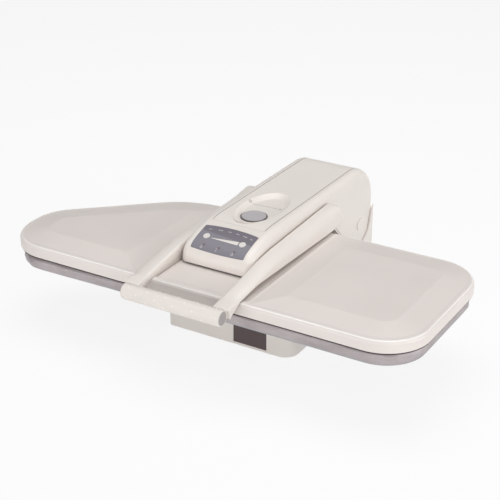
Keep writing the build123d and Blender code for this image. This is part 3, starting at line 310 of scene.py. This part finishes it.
def rounded_loop(corners, step):
    """Points and outward directions round a closed outline of (x, y, radius), anticlockwise."""
    loop = []
    for i, (x, y, radius) in enumerate(corners):
        here = Vector((x, y))
        come = (here - Vector(corners[i - 1][:2])).normalized()
        go = (Vector(corners[(i + 1) % len(corners)][:2]) - here).normalized()
        turn = math.atan2(come.x * go.y - come.y * go.x, come.dot(go))
        bend = 1 if turn > 0 else -1
        out = Vector((come.y, -come.x))
        centre = here - come * radius * math.tan(abs(turn) / 2) - bend * out * radius
        pieces = max(2, round(radius * abs(turn) / step))
        for k in range(pieces + 1):
            angle = turn * k / pieces
            c, s = math.cos(angle), math.sin(angle)
            side = Vector((out.x * c - out.y * s, out.x * s + out.y * c))
            loop.append((centre + bend * side * radius, side))
    filled = []
    for i, (point, side) in enumerate(loop):
        after, side_after = loop[(i + 1) % len(loop)]
        pieces = max(1, round((after - point).length / step))
        for k in range(pieces):
            share = k / pieces
            outward = side.lerp(side_after, share).normalized()
            filled.append((point.lerp(after, share), outward))
    return filled


def offset_rings(loop, profile):
    """A ring of points inside a loop for each (inset, z) of a profile."""
    return [Vector((*(p - n * inset), z)) for inset, z in profile for p, n in loop]


def ring_faces(rings, count, closed=False):
    """Quads from each ring to the next, and from the last to the first if closed."""
    return [
        (
            r * count + i,
            r * count + (i + 1) % count,
            (r + 1) % rings * count + (i + 1) % count,
            (r + 1) % rings * count + i,
        )
        for r in range(rings if closed else rings - 1)
        for i in range(count)
    ]


def shifted(faces, first):
    return [tuple(first + i for i in face) for face in faces]


# Outline of the press plate from above, as (x, y, radius), which the board below it follows
PLATE_CORNERS = [
    (-330.0, -208.0, 70.0),
    (330.0, -208.0, 66.0),
    (330.0, 58.5, 66.0),
    (-161.5, 58.5, 150.0),
    (-330.0, -92.6864, 68.0),
]

# Padded ironing board: silver fabric drawn over foam and hemmed under the tray
BOARD_FOOT, BOARD_TOP = 95.7, 114.9  # heights
BOARD_INSET = 5.6  # from the plate's outline to the side of the cloth
BOARD_ROUND, HEM_ROUND = 7.0, 4.0
edge_loop = rounded_loop(PLATE_CORNERS, 5.5)
# (inset, z) from the end of the hem, round the hem, up the side and onto the top
profile = [(28.0, 96.5), (20.0, 96.0), (13.0, BOARD_FOOT)]
for a in map(math.radians, (0, 35, 65, 90)):
    profile.append((
        BOARD_INSET + HEM_ROUND * (1 - math.sin(a)),
        BOARD_FOOT + HEM_ROUND * (1 - math.cos(a)),
    ))
profile += [(BOARD_INSET, 102.5), (BOARD_INSET, 105.2)]
for a in map(math.radians, (0, 20, 42, 66, 90)):
    profile.append((
        BOARD_INSET + BOARD_ROUND * (1 - math.cos(a)),
        BOARD_TOP - BOARD_ROUND * (1 - math.sin(a)),
    ))
profile += [(inset, BOARD_TOP) for inset in (17.0, 22.0, 28.5, 36.0, 45.0)]
points = offset_rings(edge_loop, profile)
faces = ring_faces(len(profile), len(edge_loop))

# The flat middle is filled with evenly spread points, in rows that are half a pitch apart
PITCH = 9.0
ROW_SHARE = 0.866  # of the pitch, from row to row
CLEAR_SHARE = 0.7  # of the pitch, from the last ring
KEEP_INSIDE = 1  # the triangulation's output without what lies outside its outline
inner = [(p - n * profile[-1][0], n) for p, n in edge_loop]
spread = []
for row in range(-30, 12):
    for column in range(-40, 41):
        spot = Vector((column * PITCH + (row % 2) * PITCH / 2, row * PITCH * ROW_SHARE))
        if all((spot - p).dot(n) < -CLEAR_SHARE * PITCH for p, n in inner[::3]):
            spread.append(spot)
fan = delaunay_2d_cdt(
    [p for p, n in inner] + spread,
    [(i, (i + 1) % len(inner)) for i in range(len(inner))],
    [], KEEP_INSIDE, 1e-4,
)
faces += shifted(fan[2], len(points))
points += [Vector((v.x, v.y, BOARD_TOP)) for v in fan[0]]

board = make_piece(
    "board_cover_cloth", points, faces, "base", board_cloth("silver board cloth")
)

BULGE = 1.1  # the most that the cloth is blown out
HELD = 0.9  # above the foot, where the hem is held


def puff(piece, pressure, growth, frames, reach):
    """Cloth under pressure, with the hem held, and each point's way from its start capped."""
    mesh = piece.data
    before = [v.co.copy() for v in mesh.vertices]
    held = piece.vertex_groups.new(name="hem")
    low = [v.index for v in mesh.vertices if v.co.z < (BOARD_FOOT + HELD) * MM]
    held.add(low, 1.0, "REPLACE")
    cloth = piece.modifiers.new("cloth", "CLOTH")
    settings = cloth.settings
    settings.quality = 4
    settings.mass = 0.2
    settings.tension_stiffness = 12
    settings.compression_stiffness = 8
    settings.bending_stiffness = 0.3
    settings.use_pressure = True
    settings.uniform_pressure_force = pressure
    settings.shrink_min = -growth
    settings.vertex_group_mass = "hem"
    settings.effector_weights.gravity = 0.0
    cloth.collision_settings.use_collision = False
    cloth.point_cache.frame_start = 1
    cloth.point_cache.frame_end = frames
    for number in range(1, frames + 1):
        scene.frame_set(number)
    shape = piece.evaluated_get(bpy.context.evaluated_depsgraph_get()).data
    after = [v.co.copy() for v in shape.vertices]
    piece.modifiers.remove(cloth)
    piece.vertex_groups.clear()
    scene.frame_set(1)
    for v, start_place, end_place in zip(mesh.vertices, before, after):
        way = end_place - start_place
        if way.length > reach * MM:
            way *= reach * MM / way.length
        v.co = start_place + way


puff(board, pressure=4.0, growth=0.03, frames=18, reach=BULGE)

# Puckers, as the waves' spacing along x and y and up the side, and their height
TUCK_SPACING, TUCK_RISE, TUCK_HEIGHT = 9.0, 60.0, 0.75
FOLD_SPACING, FOLD_RISE, FOLD_HEIGHT = 26.0, 30.0, 0.7
GATHER_LEAST, GATHER_GAIN = 0.35, 4.0  # more where the outline turns
GATHER_AHEAD = 3  # points of the outline over which its turn is measured
SIDE_MIDDLE, SIDE_FADE = 101.0, 12.0
TOP_INSET, TOP_SHARE = 16, 0.25  # the share of a pucker that reaches the top
# The wave over the foam, as its spacing along x and y and its height
WAVE_X, WAVE_Y, WAVE_HEIGHT, WAVE_LEVEL = 55.0, 40.0, 0.55, 0.6
WAVE_ABOVE = 110.0
FOLD_LAYER, WAVE_LAYER = 5.0, 2.0  # heights in the noise, so that the waves differ
BOARD_LOWEST, BOARD_HIGHEST = 95.55, 115.1
# The cloth hangs lower towards the left end, and its upper part a little more
SLACK_FROM, SLACK_TO = -60.0, -330.0
SLACK, SLACK_UPPER, SLACK_ABOVE = 2.6, 0.8, 105.0


def soften_board(piece):
    """Puckers where the cloth is gathered round the edge, and a faint wave over the foam."""
    mesh = piece.data
    count = len(edge_loop)
    normals = [v.normal.copy() for v in mesh.vertices]
    for v, normal in zip(mesh.vertices, normals):
        x, y, height = v.co / MM
        if v.index < len(profile) * count:
            row, column = divmod(v.index, count)
            inset, z = profile[row]
            side = edge_loop[column][1]
            ahead = edge_loop[(column + GATHER_AHEAD) % count][1]
            gather = GATHER_LEAST + min(1.0, (side - ahead).length * GATHER_GAIN)
            fade = max(0.0, 1.0 - abs(z - SIDE_MIDDLE) / SIDE_FADE)
            if inset >= TOP_INSET:
                fade = TOP_SHARE
            up_side = z / FOLD_RISE + FOLD_LAYER
            tuck = noise_at(Vector((x / TUCK_SPACING, y / TUCK_SPACING, z / TUCK_RISE)))
            fold = noise_at(Vector((x / FOLD_SPACING, y / FOLD_SPACING, up_side)))
            pucker = TUCK_HEIGHT * tuck + FOLD_HEIGHT * fold
            v.co += normal * MM * gather * fade * pucker
        if height > WAVE_ABOVE:
            wave = noise_at(Vector((x / WAVE_X, y / WAVE_Y, WAVE_LAYER)))
            v.co.z += MM * WAVE_HEIGHT * (wave - WAVE_LEVEL)
    for v in mesh.vertices:
        v.co.z = min(max(v.co.z, BOARD_LOWEST * MM), BOARD_HIGHEST * MM)
        slack = soft_step(SLACK_FROM, SLACK_TO, v.co.x / MM)
        more = SLACK_UPPER * slack if v.co.z > SLACK_ABOVE * MM else 0.0
        v.co.z -= MM * (SLACK * slack + more)
    mesh.update()


soften_board(board)
smoothing = board.modifiers.new("smooth", "SUBSURF")
smoothing.levels = 1
smoothing.render_levels = 1
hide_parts("board_cover", "board_pad")

# Handle arms: one soft form each, narrow on top and falling away to the outer side.
# The outline is in (y, z), and x goes from the inner side to the outer side.
ARM_INNER, ARM_OUTER = 60.0, 84.0
GRIP = Vector((-243.0, 127.5))
GRIP_RADIUS = 11.5
CRADLE = 11.25  # the arm's hollow round the grip, which it sits in by 0.25 mm
CRADLE_TOP, CRADLE_FOOT, CRADLE_STEPS = 75, -22, 9
ARM_CORNERS = [
    (-105.0, 161.0, 400.0),
    (96.0, 168.0, 15.0),
    (96.0, 134.4, 9.0),
    (-160.0, 142.0, 120.0),
    (-208.0, 136.4, 11.5),
    (-222.0, 129.0, 11.5),
]
ARM_STEP, ARM_JOIN = 4.0, 0.3
INNER_TURNS = (90, 55, 25, 0)
OUTER_TURNS = (0, 12, 24, 36, 48, 60, 70, 80, 90)
ARM_ROWS = len(INNER_TURNS) + 1 + len(OUTER_TURNS)
# Roundings of the outer side on top and under the arm, at the front and at the rear
TOP_ROUND, TOP_ROUND_REAR = 15.0, 10.0
UNDER_ROUND, UNDER_ROUND_REAR = 1.3, 6.0
TOP_WIDTH, NARROWER_REAR = 19.0, 0.35
RIM, RIM_MORE = 1.2, 1.8
TIP, TIP_GROWTH = 0.06, 0.15  # the least rounding, at the two ends of the cradle
# The lower edge of the arm's inner side, which is drawn down to a line near the grip
EDGE_Z, EDGE_SLOPE, EDGE_FROM = 134.3, 0.62, -208.5
EDGE_POWER, EDGE_IN = 1.5, 1.6
# The arm's thickness at the front and what the rear adds, and its share for the rounding
THICK_FRONT, THICK_MORE, THICK_SHARE = 9.5, 21.5, 0.6
# Where each change along the arm begins and ends, as distances from the grip or as y
GRIP_SPAN = (14.0, 40.0)
THICK_SPAN = (-190.0, 20.0)
REAR_SPAN = (40.0, 92.0)
EDGE_SPAN, EDGE_END = (-120.0, -40.0), (-233.0, -222.0)
# The outward direction's height, from the side to the top and from the side to the underside
TOP_FACING, UNDER_FACING = (-0.15, 0.35), (-0.2, -0.7)


def cradle_place(degrees):
    """A place on the cradle's arc, and the arm's outward direction there."""
    side = unit(math.radians(degrees))
    return GRIP + side * CRADLE, -side


ARM_START, ARM_END = cradle_place(CRADLE_TOP)[0], cradle_place(CRADLE_FOOT)[0]


def arm_outline():
    """The arm from its right side, clockwise from the cradle's top, with outward directions."""
    corners = [(*ARM_START, 0.0)] + ARM_CORNERS + [(*ARM_END, 0.0)]
    turned = rounded_loop([(y, -z, radius) for y, z, radius in corners], ARM_STEP)
    walk = [(Vector((p.x, -p.y)), Vector((n.x, -n.y))) for p, n in turned]
    kept = [
        (p, n) for p, n in walk
        if min((p - ARM_START).length, (p - ARM_END).length) > ARM_JOIN
        and (p - GRIP).length > CRADLE - 0.05
    ]
    sweep = CRADLE_TOP - CRADLE_FOOT
    arc = [
        cradle_place(CRADLE_FOOT + sweep * k / CRADLE_STEPS) for k in range(CRADLE_STEPS + 1)
    ]
    return kept + arc


def arm_section(place, out):
    """(inset, x) across the arm: round the inner rim, over the flat, and round the outer side."""
    past_grip = soft_step(*GRIP_SPAN, (place - GRIP).length)
    upper = soft_step(*TOP_FACING, out.y)
    rear = soft_step(*REAR_SPAN, place.x)
    thick = THICK_FRONT + THICK_MORE * soft_step(*THICK_SPAN, place.x)
    deep = between(min(TOP_ROUND, THICK_SHARE * thick), TOP_ROUND_REAR, rear) * upper
    under = between(UNDER_ROUND, UNDER_ROUND_REAR, rear)
    tip = TIP + TIP_GROWTH * min((place - ARM_START).length, (place - ARM_END).length)
    least = 1.0 + (under - 1.0) * past_grip * (1 - upper)
    deep = max(deep * past_grip, min(least, tip))
    wide = max(deep, TOP_WIDTH * upper * past_grip * (1 - NARROWER_REAR * rear))
    rim = min(RIM + RIM_MORE * past_grip, tip)
    section = []
    for a in map(math.radians, INNER_TURNS):
        section.append((rim * (1 - math.cos(a)), ARM_INNER + rim * (1 - math.sin(a))))
    section.append((0.0, (ARM_INNER + rim + ARM_OUTER - wide) / 2))
    for a in map(math.radians, OUTER_TURNS):
        section.append((deep * (1 - math.cos(a)), ARM_OUTER - wide * (1 - math.sin(a))))
    return section


def arm_point(place, out, inset, x):
    """The (x, y, z) of a point, with the lower edge of the inner side drawn down and in."""
    spot = place - out * inset
    lower = soft_step(*UNDER_FACING, out.y)
    edge_z = EDGE_Z - EDGE_SLOPE * max(0.0, EDGE_FROM - spot.x)
    reach = (1 - soft_step(*EDGE_SPAN, spot.x)) * soft_step(*EDGE_END, spot.x)
    lean = ((ARM_OUTER - x) / (ARM_OUTER - ARM_INNER)) ** EDGE_POWER
    drop = max(0.0, spot.y - edge_z) * lower * reach * lean
    return x - EDGE_IN * lower * reach * lean, spot.x, spot.y - drop


def build_arm(name, side, node):
    columns = [
        [arm_point(place, out, inset, x) for inset, x in arm_section(place, out)]
        for place, out in arm_outline()
    ]
    size = len(columns)
    points = [
        Vector((side * x, y, z))
        for row in zip(*columns)
        for x, y, z in row
    ]
    skin = ring_faces(ARM_ROWS, size)
    skin.append(tuple(range(size)))
    skin.append(tuple(range((ARM_ROWS - 1) * size, ARM_ROWS * size)))
    arm = make_piece(name, points, skin, "handle", paint["white_plastic"])
    work = bmesh.new()
    work.from_mesh(arm.data)
    bmesh.ops.triangulate(work, faces=[f for f in work.faces if len(f.verts) > 4])
    work.to_mesh(arm.data)
    work.free()
    arm.data.shade_smooth()
    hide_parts(node)


build_arm("arm_moulding_left", -1, "handle_arm_left")
build_arm("arm_moulding_right", 1, "handle_arm_right")

# Grip: rows of small raised pips for the fingers
PIP_ROWS, PIP_SIDES = 8, 8
PIP_PITCH, PIP_SHIFT, PIP_REACH = 30.0, 7, 72  # along the grip, from its middle
PIP_RADIUS, PIP_HEIGHT = 1.5, 0.6
PIP_SUNK = 0.12  # the foot's depth in the grip
PIP_RINGS = ((0.0, 1.0), (0.6, 0.78), (0.92, 0.4))  # shares of the height and of the radius
ALONG = Vector((1, 0, 0))
points, faces = [], []
for row in range(PIP_ROWS):
    turn = math.radians(360 / PIP_ROWS * (row + 0.5))
    out = Vector((0, -math.cos(turn), math.sin(turn)))
    across = Vector((0, math.sin(turn), math.cos(turn)))
    for column in range(-3, 3):
        x = column * PIP_PITCH + PIP_SHIFT + (PIP_PITCH / 2 if row % 2 else 0)
        if abs(x) > PIP_REACH:
            continue
        foot = Vector((x, *GRIP)) + out * (GRIP_RADIUS - PIP_SUNK)
        first = len(points)
        for lift, share in PIP_RINGS:
            for a in full_turn(PIP_SIDES):
                side = (ALONG * math.cos(a) + across * math.sin(a)) * PIP_RADIUS * share
                points.append(foot + side + out * (PIP_HEIGHT + PIP_SUNK) * lift)
        points.append(foot + out * (PIP_HEIGHT + PIP_SUNK))
        faces += shifted(ring_faces(len(PIP_RINGS), PIP_SIDES), first)
        last = first + (len(PIP_RINGS) - 1) * PIP_SIDES
        faces += [
            (last + k, last + (k + 1) % PIP_SIDES, last + PIP_SIDES) for k in range(PIP_SIDES)
        ]
# The pips are a lighter white than the grip: painted highlight, so that they stand out
pip_highlight_white = moulded("pip painted highlight", srgb(240, 235, 230), 0.3, depth=0.0)
make_piece("grip_pips", points, faces, "handle", pip_highlight_white)

# Printed marks: flat shapes laid just over a node's surface
surfaces = {}


def shoot(names, origin, way):
    """Where a ray in mm first meets the named nodes, with the normal and the distance there."""
    best = None
    for name in names:
        if name not in surfaces:
            graph = bpy.context.evaluated_depsgraph_get()
            surfaces[name] = BVHTree.FromObject(nodes[name], graph)
        place, normal, _, distance = surfaces[name].ray_cast(Vector(origin) * MM, Vector(way))
        if place is not None and (best is None or distance < best[2]):
            best = (place / MM, normal, distance)
    return best


def ribbon(path, widths, closed=False):
    """A flat strip along a line of (x, y) points, with one width or a width for each point."""
    left, right = [], []
    count = len(path)
    for i, spot in enumerate(path):
        before = path[i - 1] if (i or closed) else spot
        after = path[(i + 1) % count] if (i < count - 1 or closed) else spot
        way = (Vector(after) - Vector(before)).normalized()
        half = (widths[i] if isinstance(widths, list) else widths) / 2
        side = Vector((-way.y, way.x)) * half
        left.append(Vector(spot) + side)
        right.append(Vector(spot) - side)
    quads = [
        (i, (i + 1) % count, count + (i + 1) % count, count + i)
        for i in range(count if closed else count - 1)
    ]
    return left + right, quads


def disc(centre, radius, sides):
    spots = [Vector(centre) + radius * unit(a) for a in full_turn(sides)]
    return spots, [tuple(range(sides))]


def long_line(a, b, steps):
    return [Vector(a).lerp(Vector(b), k / steps) for k in range(steps + 1)]


def lay_marks(name, shapes, ground, lift, finish):
    """Lays flat shapes on the ground, lifted off it along its normal."""
    names, over, way = ground
    points, faces = [], []
    for spots, skin in shapes:
        faces += shifted(skin, len(points))
        for spot in spots:
            place, normal, _ = shoot(names, over(spot), way)
            points.append(place + normal * lift)
    make_piece(name, points, faces, "head", finish, smooth=False)


# A ground is the nodes that carry the marks, where the rays start, and the way they go
FASCIA = Vector((0.0, -111.0, 169.2))
FASCIA_OUT = Vector((0.0, -0.3188, 0.9478))
FASCIA_UP = Vector((0.0, 0.9478, 0.3188))
RAY_LENGTH = 20.0
SKY = 220.0


def over_fascia(spot):
    across = Vector((spot[0], 0, 0))
    return FASCIA + across + FASCIA_UP * spot[1] + FASCIA_OUT * RAY_LENGTH


def over_housing(spot):
    return Vector((spot[0], spot[1], SKY))


FASCIA_FACE = (["control_fascia"], over_fascia, -FASCIA_OUT)
HOUSING_TOP = (["top_panel", "housing_shell", "button_ring"], over_housing, Vector((0, 0, -1)))
PRINT_LIFT, SEAM_LIFT = 0.06, 0.03

# A wedge between the keys, wider to the right
WEDGE_STEPS, WEDGE_THIN, WEDGE_GROWTH = 14, 0.7, 6.4
wedge_line = long_line((-21.5, -1.6), (22.6, 0.0), WEDGE_STEPS)
wedge_width = [WEDGE_THIN + WEDGE_GROWTH * k / WEDGE_STEPS for k in range(WEDGE_STEPS + 1)]
mark_white = moulded("mark white", srgb(226, 220, 214), 0.5)
lay_marks(
    "fascia_wedge", [ribbon(wedge_line, wedge_width)], FASCIA_FACE, PRINT_LIFT,
    mark_white,
)

# Signs under the lamps, drawn as plain shapes: strokes round the sign's middle, and their width
PEAK = [
    ([(-1.7, -1.3), (0.0, 1.9), (1.7, -1.3)], 0.75),
    ([(-1.9, -2.0), (1.9, -2.0)], 0.6),
]
BAR = [
    ([(0.0, -2.0), (0.0, 2.0)], 0.9),
    ([(-1.3, -1.4), (1.3, -1.4)], 0.6),
]
SIGN_Y = -19.6
signs = []
for x, strokes in ((-27.3, PEAK), (-3.0, BAR), (23.4, PEAK)):
    for stroke, width in strokes:
        signs.append(ribbon([(x + dx, SIGN_Y + dy) for dx, dy in stroke], width))
# Short plain dashes along the bow of the upper edge, as the middle and half of the length
DASH_Y, DASH_BOW, DASH_WIDTH = 18.6, 0.0035, 1.0
for x, half in ((-32.0, 2.2), (-16.5, 3.4), (-1.5, 2.6), (11.5, 2.6), (24.5, 3.4), (36.0, 2.0)):
    y = DASH_Y - DASH_BOW * x * x
    fall = 2 * DASH_BOW * x * half
    signs.append(ribbon(long_line((x - half, y + fall), (x + half, y - fall), 3), DASH_WIDTH))
mark_grey = moulded("mark grey", srgb(214, 206, 206), 0.5)
lay_marks("fascia_signs", signs, FASCIA_FACE, PRINT_LIFT, mark_grey)

# Steam legend in the scoop: a fine line with a small drop at each end
DROP_X, DROP_Y = 1.9, 2.4  # half widths of a drop's outline
legend = [ribbon(long_line((-25.0, 10.0), (15.0, 12.2), 16), 0.6)]
for x, y in ((-29.5, 9.6), (19.5, 12.4)):
    drop = [(x + DROP_X * math.cos(a), y + DROP_Y * math.sin(a)) for a in full_turn(12)]
    legend += [ribbon(drop, 0.5, closed=True), disc((x, y), 0.6, 8)]
mark_dark = moulded("mark dark", srgb(112, 102, 104), 0.5)
lay_marks("scoop_legend", legend, HOUSING_TOP, PRINT_LIFT, mark_dark)

# Painted shade in the grooves along the roof, where the top panel meets the shell
SEAM_X, SEAM_FRONT, SEAM_REAR, SEAM_WIDTH = 43.4, -72.0, 224.0, 0.75
# A dark strip laid in each groove: painted shade, darker than the groove's own depth gives
seam_shade_dark = moulded("painted seam shade", srgb(150, 140, 136), 0.5)
seams = [
    ribbon(long_line((x, SEAM_FRONT), (x, SEAM_REAR), 74), SEAM_WIDTH) for x in (-SEAM_X, SEAM_X)
]
lay_marks("roof_seam_shades", seams, HOUSING_TOP, SEAM_LIFT, seam_shade_dark)

# Painted highlight along the cover's upper edge: a fine bright bead, where the housing and the
# column leave it free
BEAD_Z, BEAD_INSET = 134.2, 3.0
BEAD_SLIP = 3.5  # the most that the surface may lie above or below the bead's height
BEAD_HALF, BEAD_HEIGHT, BEAD_SUNK = 0.95, 0.62, 0.15
BEAD_TURNS = (0, 45, 90, 135, 180)
BEAD_RAY = 40.0
FLAT, STEEP = 0.5, 0.866  # the bead looks 60 degrees up from level
plate_loop = rounded_loop(PLATE_CORNERS, 5.0)
runs = [[]]
for p, n in plate_loop + plate_loop[:1]:
    out = Vector((*(n * FLAT), STEEP))
    origin = Vector((*(p - n * BEAD_INSET), BEAD_Z)) + out * BEAD_RAY
    hit = shoot(["plate_cover"], origin, -out)
    blocked = shoot(["housing_shell", "housing_underside", "column_cover"], origin, -out)
    hidden = hit and blocked and blocked[2] < hit[2] + MM
    if hit is None or hidden or abs(hit[0].z - BEAD_Z) > BEAD_SLIP:
        runs.append([])
    else:
        runs[-1].append((hit[0], out, Vector((*(n * STEEP), -FLAT))))
points, faces = [], []
for run in runs:
    if len(run) <= 2:
        continue
    first, size = len(points), len(BEAD_TURNS)
    for spot, out, across in run:
        for a in map(math.radians, BEAD_TURNS):
            side = across * (BEAD_HALF * math.cos(a))
            points.append(spot - out * BEAD_SUNK + side + out * (BEAD_HEIGHT * math.sin(a)))
    for i in range(len(run) - 1):
        for k in range(size - 1):
            a = first + i * size + k
            faces.append((a, a + 1, a + size + 1, a + size))
# The bead is whiter than the cover: painted highlight for the glint along the rounded edge
painted_highlight_white = moulded("painted edge highlight", srgb(247, 244, 241), 0.16, spread=0.03, depth=0.0)
make_piece("cover_highlight_bead", points, faces, "head", painted_highlight_white)

# Dark strip hanging round the sole plate, inside the cover's lower edge: painted shade for the gap
# between cover and board
gap_shade_dark = moulded("painted gap shade", srgb(66, 58, 59), 0.7)
gap_shade_profile = [(1.1, 118.5), (1.1, 115.7), (1.5, 115.3), (3.2, 115.3), (3.6, 115.7), (3.6, 118.5)]
points = offset_rings(plate_loop, gap_shade_profile)
faces = ring_faces(len(gap_shade_profile), len(plate_loop), closed=True)
make_piece("sole_gap_shade", points, faces, "head", gap_shade_dark, smooth=False)


# Camera
def look(obj, place, target):
    obj.location = place
    obj.rotation_euler = (Vector(target) - obj.location).to_track_quat("-Z", "Y").to_euler()


camera_data = bpy.data.cameras.new("camera")
camera_data.sensor_width = 36.0
camera_data.lens = 90.8
camera_data.clip_start = 0.05
camera_data.clip_end = 40.0
camera = add_object("camera", camera_data)
scene.camera = camera
look(camera, (0.8539, -1.4703, 0.9183), (0.0101, -0.058, 0.135))

# Floor: matt grey to the light, and white to the camera, in reflections and through glass
FLOOR_HALF = 6.0
FLOOR_GREY = 0.86
GLOW_SHARE = 0.86
WHITE = (1, 1, 1, 1)
floor_mesh = bpy.data.meshes.new("floor")
floor_corners = [
    (x * FLOOR_HALF, y * FLOOR_HALF, 0) for x, y in ((-1, -1), (1, -1), (1, 1), (-1, 1))
]
floor_mesh.from_pydata(floor_corners, [], [(0, 1, 2, 3)])
floor = add_object("floor", floor_mesh)
floor_mat = bpy.data.materials.new("floor")
floor_mat.use_nodes = True
tree = floor_mat.node_tree
tree.nodes.clear()
matte = add_node(tree, "ShaderNodeBsdfDiffuse", Color=(FLOOR_GREY, FLOOR_GREY, FLOOR_GREY, 1.0))
glow = add_node(tree, "ShaderNodeEmission", Color=WHITE, Strength=1.0)
rays = tree.nodes.new("ShaderNodeLightPath").outputs
seen = maths(tree, "MAXIMUM", rays["Is Camera Ray"], rays["Is Glossy Ray"])
seen = maths(tree, "MAXIMUM", seen, rays["Is Transmission Ray"])
mix = add_node(tree, "ShaderNodeMixShader", {
    "Fac": maths(tree, "MULTIPLY", seen, GLOW_SHARE),
    1: matte.outputs["BSDF"],
    2: glow.outputs["Emission"],
})
add_node(tree, "ShaderNodeOutputMaterial", {"Surface": mix.outputs["Shader"]})
floor_mesh.materials.append(floor_mat)

# World: white to the camera, and a soft fill light to the object
FILL_STRENGTH = 0.25
world = bpy.data.worlds.new("world")
scene.world = world
world.use_nodes = True
tree = world.node_tree
tree.nodes.clear()
fill = add_node(tree, "ShaderNodeBackground", Color=WHITE, Strength=FILL_STRENGTH)
backdrop = add_node(tree, "ShaderNodeBackground", Color=WHITE, Strength=1.0)
mix = add_node(tree, "ShaderNodeMixShader", {
    "Fac": tree.nodes.new("ShaderNodeLightPath").outputs["Is Camera Ray"],
    1: fill.outputs["Background"],
    2: backdrop.outputs["Background"],
})
add_node(tree, "ShaderNodeOutputWorld", {"Surface": mix.outputs["Shader"]})

# Lamps, as the place, the width and height, and the power
LAMP_TARGET = (0, 0, 0.1)
for name, place, width, height, power in (
    ("key", (1.95, -1.5, 1.0), 1.5, 1.4, 9.2),
    ("key high", (1.4, -1.4, 1.9), 1.4, 1.4, 5.4),
    ("front low", (-0.3, -2.4, 0.32), 2.0, 0.5, 20.6),
    ("right", (2.3, 0.2, 0.6), 1.2, 0.9, 17.2),
    ("top", (-0.1, 0.2, 2.3), 2.0, 1.6, 30.5),
):
    lamp = bpy.data.lights.new(name, "AREA")
    lamp.shape = "RECTANGLE"
    lamp.size = width
    lamp.size_y = height
    lamp.energy = power
    look(add_object(name, lamp), place, LAMP_TARGET)
